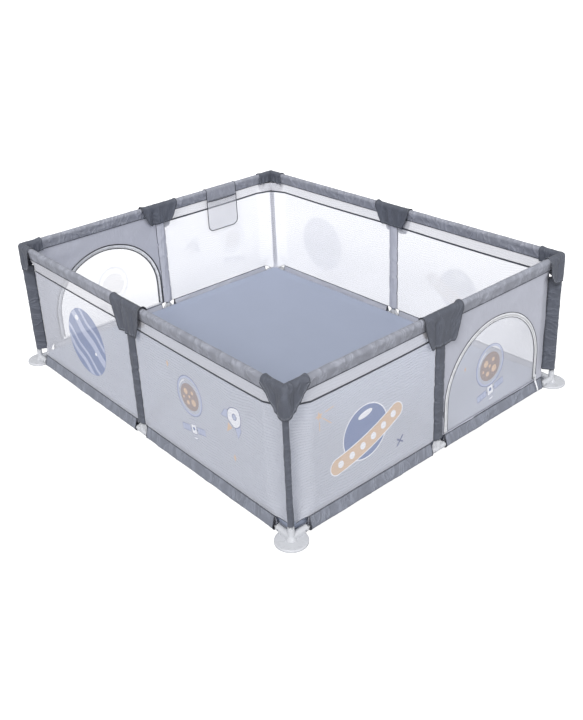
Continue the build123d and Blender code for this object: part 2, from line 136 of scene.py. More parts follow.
# ---------------------------------------------------------------- user settings
def length(name, default, about):
    return bpy.props.FloatProperty(name=name, description=about, default=default, min=0.0,
                                   unit="LENGTH", precision=4)


def colour(name, default, about):
    return bpy.props.FloatVectorProperty(name=name, description=about, default=default, size=3,
                                         min=0.0, max=1.0, subtype="COLOR")


class PlaypenSizes(bpy.types.PropertyGroup):
    cloth: length("Cloth thickness", 0.0011, "Thickness of the woven cloth")
    wrinkle: length("Wrinkle height", 0.0046, "Height of the folds in the rail sleeves and hems")
    band: length("Band height", 0.052, "Height of the pale band under the top sleeves")
    binding: length("Binding width", 0.0095, "Width of the dark tape under the band")
    sag: length("Band sag", 0.004, "How far the band's lower edge sags in the middle of a panel")
    post_sleeve: length("Post sleeve radius", 0.0116, "Radius of the cloth round a corner post")
    mid_sleeve: length("Mid sleeve half width", 0.026, "Half the width of the cloth round a mid post")
    cover_radius: length("Cover radius", 0.0160, "Radius of the covers over the top rails")
    corner_arm: length("Corner cover arm", 0.104, "Reach of a corner cover along each rail")
    corner_low: length("Corner cover hem", 0.529, "Height of a corner cover's hem in front of its post")
    corner_inside: length("Corner cover inner hem", 0.602, "Height of a corner cover's hem inside the pen")
    mid_half: length("Mid cover half width", 0.112, "Half the width of a mid cover on its rail")
    mid_foot: length("Mid cover foot", 0.064, "Half the width of a mid cover at its outer hem")
    mid_low: length("Mid cover hem", 0.512, "Height of a mid cover's outer hem")
    mid_inside: length("Mid cover inner hem", 0.552, "Height of a mid cover's inner hem")
    zip_tape: length("Zip tape width", 0.009, "Width of each half of a zip's tape")
    stitch: length("Stitch length", 0.0035, "Length of one stitch of the seams")
    mat_rounding: length("Mat edge rounding", 0.014, "Rounding of the floor mat's edges")


class PlaypenColours(bpy.types.PropertyGroup):
    slate: colour("Slate cloth", (0.072, 0.079, 0.101), "Covers and post sleeves")
    grey: colour("Grey cloth", (0.235, 0.244, 0.285), "Rail sleeves")
    hem: colour("Hem cloth", (0.165, 0.177, 0.215), "Bottom hems")
    net: colour("Net", (0.69, 0.70, 0.76), "Mesh walls")
    band: colour("Band", (0.66, 0.66, 0.70), "The doubled net under the top sleeves")
    binding: colour("Binding", (0.045, 0.049, 0.062), "Bound edges and seams")
    door: colour("Door cloth", (0.40, 0.41, 0.47), "Solid cloth round the doors")
    mat: colour("Mat cloth", (0.300, 0.335, 0.430), "Floor mat")
    tape: colour("Zip tape", (0.70, 0.71, 0.74), "Zip tape and slider")
    thread: colour("Thread", (0.42, 0.44, 0.50), "Stitches")
    plastic: colour("White plastic", (0.52, 0.53, 0.56), "Feet and bottom tees")
    rubber: colour("Foot pads", (0.55, 0.56, 0.58), "Soft pads under the feet")
    ink_blue: colour("Blue ink", (0.165, 0.215, 0.38), "Printed planets")
    ink_light: colour("Light blue ink", (0.46, 0.50, 0.66), "Printed bands and haloes")
    ink_peach: colour("Peach ink", (0.68, 0.49, 0.34), "Printed rings and stars")
    ink_brown: colour("Brown ink", (0.33, 0.255, 0.225), "Printed moons")
    ink_line: colour("Line ink", (0.085, 0.105, 0.22), "Printed outlines")
    ink_white: colour("White ink", (0.86, 0.86, 0.90), "Printed bodies and dots")


# ---------------------------------------------------------------- small sums
def clamp(t):
    return max(0.0, min(1.0, t))


def ease(t):
    t = clamp(t)
    return t * t * (3 - 2 * t)


def mix(a, b, t):
    return a + (b - a) * t


def steps(start, end, pitch):
    """Evenly spaced numbers from start to end, about pitch apart."""
    count = max(1, round(abs(end - start) / pitch))
    return [mix(start, end, i / count) for i in range(count + 1)]


def bump(x, centre, width):
    """A smooth hill of height 1 at centre."""
    return math.exp(-((x - centre) / width) ** 2)


def soft(x, y, seed):
    return noise.noise(Vector((x, y, seed)))


def fold(x, y, seed, sharp=4):
    """Narrow ridges of height 1 along wandering lines."""
    return (1 - min(1.0, abs(noise.noise(Vector((x, y, seed)))) * 2.2)) ** sharp


# ---------------------------------------------------------------- mesh making
def new_object(name, mesh, *materials):
    obj = bpy.data.objects.new(name, mesh)
    bpy.context.scene.collection.objects.link(obj)
    for one in materials:
        mesh.materials.append(one)
    mesh.shade_smooth()
    return obj


def grid_piece(name, rows, material, wrap=False, flip=False, thickness=0.0):
    """A quad sheet through rows of points. wrap closes each row. UVs are metres along and across."""
    across = len(rows[0])
    spans = across if wrap else across - 1
    along = [0.0]
    for before, after in zip(rows, rows[1:]):
        along.append(along[-1] + (after[across // 2] - before[across // 2]).length)
    side = [0.0]
    row = rows[len(rows) // 2]
    for j in range(spans):
        side.append(side[-1] + (row[(j + 1) % across] - row[j]).length)
    faces, places = [], []
    for i in range(len(rows) - 1):
        for j in range(spans):
            quad = [(i, j), (i + 1, j), (i + 1, j + 1), (i, j + 1)]
            if flip:
                quad.reverse()
            faces.append([r * across + c % across for r, c in quad])
            places += [(along[r], side[c]) for r, c in quad]
    mesh = bpy.data.meshes.new(name)
    mesh.from_pydata([tuple(p) for r in rows for p in r], [], faces)
    for loop, place in zip(mesh.uv_layers.new(name="UVMap").data, places):
        loop.uv = place
    obj = new_object(name, mesh, material)
    if thickness:
        solid = obj.modifiers.new("Cloth thickness", "SOLIDIFY")
        solid.thickness = thickness
        solid.offset = 0
    return obj


def weld(obj, distance=1e-6):
    """Merges points that coincide and turns the faces outwards."""
    work = bmesh.new()
    work.from_mesh(obj.data)
    bmesh.ops.remove_doubles(work, verts=work.verts, dist=distance)
    bmesh.ops.recalc_face_normals(work, faces=work.faces)
    work.to_mesh(obj.data)
    work.free()


def join(name, objects):
    """One object from several, each keeping its materials."""
    for obj in objects:
        for modifier in list(obj.modifiers):
            with bpy.context.temp_override(object=obj, active_object=obj):
                bpy.ops.object.modifier_apply(modifier=modifier.name)
    with bpy.context.temp_override(active_object=objects[0], object=objects[0],
                                   selected_editable_objects=objects, selected_objects=objects):
        bpy.ops.object.join()
    objects[0].name = objects[0].data.name = name
    return objects[0]


def cord_rows(path, radius, sides=8, flat=1.0, up=None):
    """Rings of points round a path, flattened by flat across up."""
    rows, previous = [], up
    for i, point in enumerate(path):
        ahead = (path[min(i + 1, len(path) - 1)] - path[max(i - 1, 0)]).normalized()
        base = previous or (Vector((0, 0, 1)) if abs(ahead.z) < 0.9 else Vector((1, 0, 0)))
        lift = (base - ahead * base.dot(ahead)).normalized()
        if up is None:
            previous = lift
        side = ahead.cross(lift)
        turns = [2 * math.pi * k / sides for k in range(sides)]
        rows.append([point + lift * (math.cos(a) * radius * flat) + side * (math.sin(a) * radius)
                     for a in turns])
    return rows


def cord_piece(name, path, radius, material, sides=8, flat=1.0, up=None):
    """A closed cord or flat tape along a path of points."""
    rows = cord_rows(path, radius, sides, flat, up)
    rows.insert(0, [path[0].copy() for _ in range(sides)])
    rows.append([path[-1].copy() for _ in range(sides)])
    obj = grid_piece(name, rows, material, wrap=True)
    weld(obj)
    return obj


def inside(x, y, loops):
    """True if the point is inside an odd number of the loops."""
    odd = False
    for loop in loops:
        for (x0, y0), (x1, y1) in zip(loop, loop[1:] + loop[:1]):
            if (y0 > y) != (y1 > y) and x < (x1 - x0) * (y - y0) / (y1 - y0) + x0:
                odd = not odd
    return odd


def cut_mesh(name, loops, pitch, place, kind):
    """A triangle sheet cut along the loops, each flat point put in place by place(x, y).

    kind(x, y) is the number of the material there, or None where there is a hole."""
    flat, edges = [], []
    for loop in loops:
        start = len(flat)
        flat += [Vector(p) for p in loop]
        edges += [(start + i, start + (i + 1) % len(loop)) for i in range(len(loop))]
    xs, ys = [p.x for p in flat], [p.y for p in flat]
    for x in steps(min(xs), max(xs), pitch)[1:-1]:
        flat += [Vector((x, y)) for y in steps(min(ys), max(ys), pitch)[1:-1] if kind(x, y) is not None]
    points, _, triangles, _, _, _ = geometry.delaunay_2d_cdt(flat, edges, [], 0, 1e-7)
    kept, kinds = [], []
    for corners in triangles:
        centre = sum((points[i] for i in corners), Vector((0, 0))) / 3
        found = kind(centre.x, centre.y)
        if found is not None:
            kept.append(corners)
            kinds.append(found)
    used = sorted({i for corners in kept for i in corners})
    number = {old: new for new, old in enumerate(used)}
    mesh = bpy.data.meshes.new(name)
    mesh.from_pydata([tuple(place(points[i].x, points[i].y)) for i in used], [],
                     [[number[i] for i in corners] for corners in kept])
    for face, found in zip(mesh.polygons, kinds):
        face.material_index = found
    layer = mesh.uv_layers.new(name="UVMap").data
    for loop in mesh.loops:
        layer[loop.index].uv = points[used[loop.vertex_index]]
    return mesh


def filled_mesh(name, loops, pitch, place):
    """A triangle sheet that fills the loops, holes left open."""
    return cut_mesh(name, loops, pitch, place, lambda x, y: 0 if inside(x, y, loops) else None)


def stitch_row(path, material, name, stitch, lift=None, thick=0.00055):
    """A row of stitches, each a small pointed bead, along a path of points."""
    verts, faces, travelled, due = [], [], 0.0, 0.0
    for before, after in zip(path, path[1:]):
        span = (after - before).length
        while span > 0 and due <= travelled + span:
            t = (due - travelled) / span
            centre, ahead = before.lerp(after, t), (after - before).normalized()
            up = lift or (Vector((0, 0, 1)) if abs(ahead.z) < 0.9 else Vector((1, 0, 0)))
            up = (up - ahead * up.dot(ahead)).normalized()
            side = ahead.cross(up)
            first = len(verts)
            verts += [centre - ahead * stitch * 0.42, centre + ahead * stitch * 0.42]
            verts += [centre + up * thick, centre + side * thick, centre - up * thick, centre - side * thick]
            for k in range(4):
                ring = (first + 2 + k, first + 2 + (k + 1) % 4)
                faces += [(first, ring[1], ring[0]), (first + 1, ring[0], ring[1])]
            due += stitch * 1.25
        travelled += span
    mesh = bpy.data.meshes.new(name)
    mesh.from_pydata([tuple(v) for v in verts], [], faces)
    return new_object(name, mesh, material)


def lighter_inner_half(obj, wall, material):
    """Gives the half of a piece that faces into the pen a second material; on the hems this is painted light,
    the inner half lighter where the outer half is shaded.
    """
    obj.data.materials.append(material)
    plane = wall.at(0, 0, 0)
    for face in obj.data.polygons:
        if (face.center - plane).dot(wall.outward) < -0.001:
            face.material_index = 1


def settle(obj, body, slot, *nodes):
    """Puts a piece on its body in place of the named CAD nodes, which it hides. slot is not used."""
    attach(obj, body)
    if nodes:
        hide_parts(*nodes)
    return obj


def lay_sheet(obj, held, *rests_on):
    """Hands back the piece as it is."""
    return obj


# ---------------------------------------------------------------- shader groups
def node(tree, kind, inputs=None, **settings):
    """A shader node with its settings, each input a value or the socket that feeds it."""
    made = tree.nodes.new("ShaderNode" + kind)
    for key, value in settings.items():
        setattr(made, key, value)
    for key, value in (inputs or {}).items():
        if isinstance(value, bpy.types.NodeSocket):
            tree.links.new(value, made.inputs[key])
        else:
            made.inputs[key].default_value = value
    return made


def sums(tree, operation, *terms):
    return node(tree, "Math", dict(enumerate(terms)), operation=operation).outputs[0]


def node_group(name, inputs, outputs):
    """An empty group with named sockets, each given as (name, kind, default)."""
    tree = bpy.data.node_groups.new(name, "ShaderNodeTree")
    for way, sockets in (("INPUT", inputs), ("OUTPUT", outputs)):
        for title, kind, default in sockets:
            socket = tree.interface.new_socket(name=title, in_out=way, socket_type="NodeSocket" + kind)
            if default is not None:
                socket.default_value = default
    return tree, tree.nodes.new("NodeGroupInput").outputs, tree.nodes.new("NodeGroupOutput").inputs


def weave_group():
    """Plain weave: the colour of its threads with slubs, blotches and a highlight painted along its creases,
    and the height of the threads.
    """
    tree, given, result = node_group(
        "Plain weave",
        [("Place", "Vector", None), ("Colour", "Color", None), ("Pitch", "Float", 0.0009),
         ("Contrast", "Float", 0.14), ("Blotch", "Float", 0.10), ("Crease shine", "Float", 0.0)],
        [("Colour", "Color", None), ("Height", "Float", None), ("Crease", "Float", None)])
    place = node(tree, "SeparateXYZ", {0: given["Place"]}).outputs
    turns = sums(tree, "DIVIDE", 2 * math.pi, given["Pitch"])
    warp = sums(tree, "SINE", sums(tree, "MULTIPLY", place["X"], turns))
    weft = sums(tree, "SINE", sums(tree, "MULTIPLY", place["Y"], turns))
    height = sums(tree, "MULTIPLY_ADD", sums(tree, "MULTIPLY", warp, weft), 0.5, 0.5)
    along = node(tree, "VectorMath", {0: given["Place"], 1: (60.0, 900.0, 60.0)}, operation="MULTIPLY")
    slub = node(tree, "TexNoise", {"Vector": along.outputs[0], "Scale": 1.0, "Detail": 2.0}).outputs["Fac"]
    blotch = node(tree, "TexNoise", {"Vector": given["Place"], "Scale": 7.0, "Detail": 4.0}).outputs["Fac"]
    slanted = node(tree, "VectorMath", {0: given["Place"], 1: (14.0, 6.0, 14.0)}, operation="MULTIPLY")
    wander = node(tree, "TexNoise", {"Vector": slanted.outputs[0], "Scale": 1.0, "Detail": 2.5,
                                     "Distortion": 1.2})
    ridge = sums(tree, "ABSOLUTE", sums(tree, "MULTIPLY_ADD", wander.outputs["Fac"], 2.0, -1.0))
    crease = sums(tree, "POWER", sums(tree, "SUBTRACT", 1.0, ridge), 9.0)
    shade = sums(tree, "MULTIPLY_ADD", sums(tree, "SUBTRACT", height, 0.5), given["Contrast"], 1.0)
    shade = sums(tree, "MULTIPLY_ADD", sums(tree, "SUBTRACT", slub, 0.5), given["Contrast"], shade)
    shade = sums(tree, "MULTIPLY_ADD", sums(tree, "SUBTRACT", blotch, 0.5), given["Blotch"], shade)
    # painted highlight: the colour made paler along the creases
    shade = sums(tree, "MULTIPLY_ADD", crease, given["Crease shine"], shade)
    tinted = node(tree, "VectorMath", {0: given["Colour"], "Scale": shade}, operation="SCALE")
    tree.links.new(tinted.outputs[0], result["Colour"])
    tree.links.new(sums(tree, "MULTIPLY_ADD", slub, 0.4, height), result["Height"])
    tree.links.new(crease, result["Crease"])
    return tree


def net_group():
    """A knitted net of small diamond holes: a mask of its threads, and of the fine rows across it."""
    tree, given, result = node_group(
        "Knitted net",
        [("Place", "Vector", None), ("Pitch", "Float", 0.0024), ("Hole", "Float", 0.5),
         ("Rows", "Float", 0.0120)],
        [("Thread", "Float", None), ("Row", "Float", None)])
    place = node(tree, "SeparateXYZ", {0: given["Place"]}).outputs
    turns = sums(tree, "DIVIDE", math.pi, given["Pitch"])
    across = sums(tree, "MULTIPLY", sums(tree, "ADD", place["X"], place["Y"]), turns)
    down = sums(tree, "MULTIPLY", sums(tree, "SUBTRACT", place["X"], place["Y"]), turns)
    waves = [sums(tree, "ABSOLUTE", sums(tree, "SINE", one)) for one in (across, down)]
    cell = sums(tree, "MULTIPLY", *waves)
    hole = node(tree, "MapRange", {
        "Value": cell, "From Min": sums(tree, "SUBTRACT", given["Hole"], 0.15),
        "From Max": sums(tree, "ADD", given["Hole"], 0.15)}, interpolation_type="SMOOTHSTEP").outputs[0]
    drift = node(tree, "TexNoise", {"Vector": given["Place"], "Scale": 3.5, "Detail": 2.0}).outputs["Fac"]
    risen = sums(tree, "MULTIPLY_ADD", drift, 0.09, sums(tree, "MULTIPLY_ADD", place["X"], 0.06, place["Y"]))
    row = sums(tree, "SINE", sums(tree, "DIVIDE", sums(tree, "MULTIPLY", risen, 2 * math.pi), given["Rows"]))
    tree.links.new(sums(tree, "SUBTRACT", 1.0, hole), result["Thread"])
    tree.links.new(sums(tree, "MULTIPLY_ADD", row, 0.5, 0.5), result["Row"])
    return tree


def grain_group():
    """Moulded or drawn surface: fine grain for a bump, and a roughness mottled by handling."""
    tree, given, result = node_group(
        "Moulded grain",
        [("Place", "Vector", None), ("Stretch", "Vector", (1.0, 1.0, 1.0)), ("Size", "Float", 900.0),
         ("Rough", "Float", 0.35), ("Mottle", "Float", 0.15)],
        [("Height", "Float", None), ("Roughness", "Float", None), ("Mask", "Float", None)])
    pulled = node(tree, "VectorMath", {0: given["Place"], 1: given["Stretch"]}, operation="MULTIPLY")
    grain = node(tree, "TexNoise", {"Vector": pulled.outputs[0], "Scale": given["Size"], "Detail": 2.0})
    scuffs = node(tree, "TexNoise", {"Vector": pulled.outputs[0], "Scale": 22.0, "Detail": 6.0,
                                     "Roughness": 0.65})
    uneven = sums(tree, "MULTIPLY", sums(tree, "SUBTRACT", scuffs.outputs["Fac"], 0.5), given["Mottle"])
    tree.links.new(grain.outputs["Fac"], result["Height"])
    rough = sums(tree, "ADD", given["Rough"], sums(tree, "MULTIPLY", uneven, 2.0))
    tree.links.new(rough, result["Roughness"])
    tree.links.new(scuffs.outputs["Fac"], result["Mask"])
    return tree


# ---------------------------------------------------------------- materials
def start_material(name, **constants):
    """A new material: its tree and its shader, with constant sockets set on the shader."""
    material = bpy.data.materials.new(name)
    material.use_nodes = True
    tree = material.node_tree
    shader = tree.nodes["Principled BSDF"]
    for socket, value in constants.items():
        shader.inputs[socket.replace("_", " ")].default_value = value
    return tree, shader


def group_node(tree, name, inputs):
    return node(tree, "Group", inputs, node_tree=bpy.data.node_groups[name]).outputs


def blend(tree, factor, first, second):
    """The colour between two others, by a factor from 0 to 1."""
    made = node(tree, "Mix", data_type="RGBA")
    tree.links.new(factor, made.inputs["Factor"])
    for title, tone in (("A", first), ("B", second)):
        socket = next(one for one in made.inputs if one.name == title and one.type == "RGBA")
        socket.default_value = (*tone, 1.0)
    return next(one for one in made.outputs if one.type == "RGBA")


def bumped(tree, shader, height, depth):
    """Raises the surface by a height from 0 to 1, depth metres deep."""
    made = node(tree, "Bump", {"Height": height, "Distance": depth, "Strength": 0.6})
    tree.links.new(made.outputs[0], shader.inputs["Normal"])


# painted highlight on the cloth's creases
CREASE_PAINTED_HIGHLIGHT = 45      # how much paler a crease is, for each metre of its height


def cloth_material(name, tone, pitch=0.0009, contrast=0.14, blotch=0.10, crease=0.0035):
    """Woven cloth with creases crease metres high, its colour painted paler along them as a highlight."""
    tree, shader = start_material(name, Roughness=0.62, Sheen_Weight=0.06, Sheen_Roughness=0.45)
    place = node(tree, "UVMap", uv_map="UVMap").outputs[0]
    weave = group_node(tree, "Plain weave", {"Place": place, "Colour": (*tone, 1.0), "Pitch": pitch,
                                             "Contrast": contrast, "Blotch": blotch,
                                             "Crease shine": CREASE_PAINTED_HIGHLIGHT * crease})
    tree.links.new(weave["Colour"], shader.inputs["Base Color"])
    height = sums(tree, "MULTIPLY", weave["Height"], pitch * 0.35)
    bumped(tree, shader, sums(tree, "MULTIPLY_ADD", weave["Crease"], crease, height), 1.0)


def net_material(name, tone, open_alpha, thread_alpha, pitch=0.0024, behind=0.6, rows=0.09):
    """See-through cloth: a thin veil in the holes, nearly solid on the threads.

    behind is how much of it still shows from its other side, where the light comes through. rows is how much
    darker it is between its rows."""
    tree, shader = start_material(name, Roughness=0.75, Sheen_Weight=0.05)
    place = node(tree, "UVMap", uv_map="UVMap").outputs[0]
    net = group_node(tree, "Knitted net", {"Place": place, "Pitch": pitch})
    weave = group_node(tree, "Plain weave", {"Place": place, "Colour": (*tone, 1.0), "Pitch": pitch / 2,
                                             "Contrast": 0.05, "Blotch": 0.06})
    alpha = sums(tree, "MULTIPLY_ADD", net["Thread"], thread_alpha - open_alpha, open_alpha)
    back = node(tree, "NewGeometry").outputs["Backfacing"]
    alpha = sums(tree, "MULTIPLY", alpha, sums(tree, "MULTIPLY_ADD", back, behind - 1.0, 1.0))
    shade = sums(tree, "MULTIPLY_ADD", net["Row"], rows, 1.0 - rows / 2)
    ridged = node(tree, "VectorMath", {0: weave["Colour"], "Scale": shade}, operation="SCALE")
    tree.links.new(ridged.outputs[0], shader.inputs["Base Color"])
    tree.links.new(alpha, shader.inputs["Alpha"])
    bumped(tree, shader, net["Thread"], 0.0003)


def plastic_material(name, tone, rough, coat=0.0, size=900.0):
    """Moulded plastic or rubber with a faint grain."""
    tree, shader = start_material(name, Coat_Weight=coat, Coat_Roughness=0.12)
    place = node(tree, "TexCoord").outputs["Object"]
    grain = group_node(tree, "Moulded grain", {"Place": place, "Rough": rough, "Size": size})
    tree.links.new(blend(tree, grain["Mask"], [0.96 * c for c in tone], tone), shader.inputs["Base Color"])
    tree.links.new(grain["Roughness"], shader.inputs["Roughness"])
    bumped(tree, shader, grain["Height"], 0.0001)


def steel_material(name, tone, rough, stretch):
    """Drawn steel tube, its grain pulled along the tube."""
    tree, shader = start_material(name, Metallic=1.0)
    place = node(tree, "TexCoord").outputs["Object"]
    grain = group_node(tree, "Moulded grain", {"Place": place, "Rough": rough, "Size": 500.0,
                                               "Stretch": stretch})
    tree.links.new(blend(tree, grain["Mask"], [0.8 * c for c in tone], tone), shader.inputs["Base Color"])
    tree.links.new(grain["Roughness"], shader.inputs["Roughness"])
    bumped(tree, shader, grain["Height"], 0.0001)


def mat_material(name, tone):
    """Smooth coated cloth: a fine weave under soft, broad unevenness."""
    tree, shader = start_material(name, Roughness=0.5, Sheen_Weight=0.05)
    place = node(tree, "TexCoord").outputs["Object"]
    weave = group_node(tree, "Plain weave", {"Place": place, "Colour": (*tone, 1.0), "Pitch": 0.0007,
                                             "Contrast": 0.05, "Blotch": 0.07})
    broad = node(tree, "TexNoise", {"Vector": place, "Scale": 3.0, "Detail": 3.0}).outputs["Fac"]
    height = sums(tree, "MULTIPLY_ADD", broad, 14.0, weave["Height"])
    tree.links.new(weave["Colour"], shader.inputs["Base Color"])
    bumped(tree, shader, height, 0.0003)


INKS = {"Blue ink": "ink_blue", "Light blue ink": "ink_light", "Peach ink": "ink_peach",
        "Brown ink": "ink_brown", "Line ink": "ink_line", "White ink": "ink_white"}


def make_materials(colours):
    for build in (weave_group, net_group, grain_group):
        build()
    cloth_material("Slate cloth", colours.slate, crease=0.0060)
    cloth_material("Grey cloth", colours.grey, crease=0.0080)
    cloth_material("Hem cloth", colours.hem, crease=0.0075)
    cloth_material("Binding", colours.binding, pitch=0.0012)
    cloth_material("Door cloth", colours.door, pitch=0.0008, blotch=0.06, crease=0.0008)
    cloth_material("Zip tape", colours.tape, pitch=0.0011, contrast=0.10)
    cloth_material("Pocket cloth", colours.grey, pitch=0.0010)
    net_material("Wall net", colours.net, open_alpha=0.38, thread_alpha=0.76, rows=0.15, behind=0.84)
    net_material("Band net", colours.band, open_alpha=0.66, thread_alpha=0.90, pitch=0.0018, behind=0.8)
    net_material("Door net", colours.net, open_alpha=0.28, thread_alpha=0.62, rows=0.05, behind=0.75)
    net_material("Pocket net", colours.net, open_alpha=0.12, thread_alpha=0.45, pitch=0.003)
    for name, setting in INKS.items():
        net_material(name, getattr(colours, setting), open_alpha=0.46, thread_alpha=0.80, behind=0.32)
    plastic_material("White plastic", colours.plastic, rough=0.28, coat=0.4)
    plastic_material("Grey plastic", (0.115, 0.125, 0.145), rough=0.5)
    plastic_material("Foot rubber", colours.rubber, rough=0.7, size=300.0)
    plastic_material("Zip enamel", colours.tape, rough=0.35, coat=0.2)
    plastic_material("Zip coil", (0.50, 0.50, 0.51), rough=0.4)
    plastic_material("Edge cord", (0.020, 0.022, 0.028), rough=0.6)
    plastic_material("Thread", colours.thread, rough=0.65)
    plastic_material("Dark thread", colours.binding, rough=0.65)
    steel_material("Tube steel", (0.66, 0.67, 0.69), 0.28, (1.0, 1.0, 0.1))
    steel_material("Screw steel", (0.50, 0.50, 0.52), 0.30, (1.0, 1.0, 1.0))
    mat_material("Mat cloth", colours.mat)


def finish(name):
    return bpy.data.materials[name]


# CAD nodes that show as they are, by the start of their names
NODE_FINISHES = {
    "corner_post": "Tube steel", "mid_posts": "Tube steel", "top_rails": "Tube steel",
    "bottom_rails": "Tube steel", "top_elbow": "Grey plastic", "top_tee": "Grey plastic",
    "corner_foot": "White plastic", "bottom_tee": "White plastic", "foot_pads": "Foot rubber",
    "fixing_screws": "Screw steel",
    "zip_slider": "Zip enamel", "zip_pull": "Zip enamel",
}


def finish_frame():
    """Gives each CAD node that stays visible its material."""
    for name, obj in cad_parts.items():
        for start, title in NODE_FINISHES.items():
            if name.startswith(start):
                obj.data.materials.clear()
                obj.data.materials.append(finish(title))


# ---------------------------------------------------------------- the shape of the walls
def wall_out(wall, s, z):
    """How far out from the plane of the posts the wall's cloth stands."""
    from_post = wall.half - abs(s)
    turned_in = clamp((BEND_START - from_post) / (BEND_START - SEAM_INSET))
    low = mix(ease((z - HEM_TIP_Z) / 0.07), 1.0, ease((HEM_END - from_post) / 0.045))
    high = mix(ease((SLEEVE_TIP_Z - z) / 0.05), 1.0, ease((SLEEVE_END + 0.02 - from_post) / 0.02))
    out = -SEAM_INSET * turned_in * min(low, high)
    held = ease((z - HEM_TIP_Z) / 0.05) * ease((SLEEVE_TIP_Z - z) / 0.05)
    near_seam = math.exp(-(abs(s) - MID_SEAM) / 0.06) + math.exp(-(from_post - SEAM_INSET) / 0.08)
    out += 0.0014 * near_seam * held * ease((from_post - SEAM_INSET) / 0.02) * soft(s * 5, z * 34, wall.seed)
    if wall.name in DOOR_WALLS and s > 0:
        return out
    free = ease((abs(s) - MID_SEAM) / 0.12) * (1 - turned_in) * held
    return out + free * 0.0035 * soft(s * 2.4, z * 3.0, wall.seed + 4)


def panel_low(wall, s):
    """The wall cloth's bottom edge: along the hem, and loose where the hem ends short of the posts."""
    by_corner = ease((HEM_END - 0.01 - (wall.half - abs(s))) / 0.045)
    by_mid = ease((HEM_GAP - abs(s)) / 0.02)
    return HEM_TIP_Z - 0.034 * by_corner + 0.005 * by_mid


def band_low(wall, s, sizes):
    """The lower edge of the pale band, which sags a little between its ends."""
    reach = (wall.half - SEAM_INSET - MID_SEAM) / 2
    centre = MID_SEAM + reach
    return SLEEVE_TIP_Z - sizes.band - sizes.sag * (1 - ((abs(s) - centre) / reach) ** 2)


def panel_span(wall, side):
    return side * MID_SEAM, side * (wall.half - SEAM_INSET)


def on_wall(wall, path, lift=0.0):
    """Points on the wall's cloth from (s, z) pairs, lift metres outside it."""
    return [wall.at(s, wall_out(wall, s, z) + lift, z) for s, z in path]


def panel_sides():
    """Every half wall, as (wall, side): side is -1 for its left half and 1 for its right half."""
    return [(wall, side) for wall in WALLS.values() for side in (-1, 1)]


def has_door(wall, side):
    return wall.name in DOOR_WALLS and side > 0


# ---------------------------------------------------------------- rail sleeves and hems
def sleeve_section(radius, centre_z, tip_z):
    """(out, z, out normal, z normal, slack) round cloth sewn over a tube, from seam to seam."""
    towards = 1 if tip_z > centre_z else -1
    spread = math.acos(radius / abs(tip_z - centre_z))
    half_tip, side_steps = 0.0013, 9
    tangent = (radius * math.sin(spread), centre_z + towards * radius * math.cos(spread))
    side, arc = [], []
    for k in range(side_steps):
        slack = math.sin(math.pi * min(1.0, 1.25 * k / side_steps) * 0.8)
        side.append((mix(half_tip, tangent[0], k / side_steps), mix(tip_z, tangent[1], k / side_steps),
                     math.sin(spread), towards * math.cos(spread), slack))
    for a in steps(spread, 2 * math.pi - spread, math.pi / 10):
        arc.append((radius * math.sin(a), centre_z + towards * radius * math.cos(a),
                    math.sin(a), towards * math.cos(a), 0.22 + 0.4 * abs(math.sin(a)) ** 4))
    back = [(-out, z, -out_normal, z_normal, slack) for out, z, out_normal, z_normal, slack in reversed(side)]
    return side + arc + back


def sleeve_piece(name, wall, start, end, section, material, sizes, seed, calm):
    """Wrinkled cloth round a rail from start to end. calm(s) is 0 where it is held flat, 1 where free."""
    rows = []
    for s in steps(start, end, 0.007):
        row, travelled = [], 0.0
        for k, (out, z, out_normal, z_normal, slack) in enumerate(section):
            if k:
                travelled += math.hypot(out - section[k - 1][0], z - section[k - 1][1])
            crease = fold(s * 6 + travelled * 16, travelled * 8 - s * 2.5, seed)
            pucker = fold(s * 26 + travelled * 10, travelled * 14, seed + 3, 3)
            loose = 0.75 * crease + 0.35 * pucker + 0.5 * soft(s * 11, travelled * 26, seed + 5) - 0.2
            lift = sizes.wrinkle * slack * calm(s) * loose
            row.append(wall.at(s, out + out_normal * lift, z + z_normal * lift))
        rows.append(row)
    return grid_piece(name, rows, material, wrap=True, flip=start < end, thickness=sizes.cloth)


def make_rail_sleeves(sizes):
    section = sleeve_section(SLEEVE_RADIUS, RAIL_Z, SLEEVE_TIP_Z)
    for wall, side in panel_sides():
        end = wall.half - SLEEVE_END

        def calm(s):
            at_mid = ease((abs(s) - sizes.mid_half + 0.01) / 0.03)
            return mix(0.25, 1.0, at_mid * ease((wall.half - sizes.corner_arm + 0.01 - abs(s)) / 0.03))

        name = f"rail_sleeve_{wall.name}_{wall.ends[side]}"
        seed = wall.seed + 2 * side
        piece = sleeve_piece(name, wall, side * SLEEVE_GAP, side * end, section, finish("Grey cloth"),
                             sizes, seed, calm)
        settle(piece, "root", "grey_canvas", f"top_sleeve_{wall.name}")
        lay_sheet(piece, "stretched", f"top_rails_{wall.name}")
        seams, stations = [], steps(side * SLEEVE_GAP, side * end, 0.02)
        # dark cords along the sleeve's lower seams: partly the real seam, partly painted shade where the
        # sleeve's edge overhangs the band
        for out in (0.0022, -0.0022):
            line = [wall.at(s, out, SLEEVE_TIP_Z + 0.001) for s in stations]
            seams.append(cord_piece("seam", line, 0.0018, finish("Binding"), sides=6))
            line = [wall.at(s, out * 1.6, SLEEVE_TIP_Z + 0.006) for s in stations]
            seams.append(stitch_row(line, finish("Dark thread"), "stitches", sizes.stitch))
        settle(join(f"sleeve_seam_{wall.name}_{wall.ends[side]}", seams), "root", "grey_canvas")


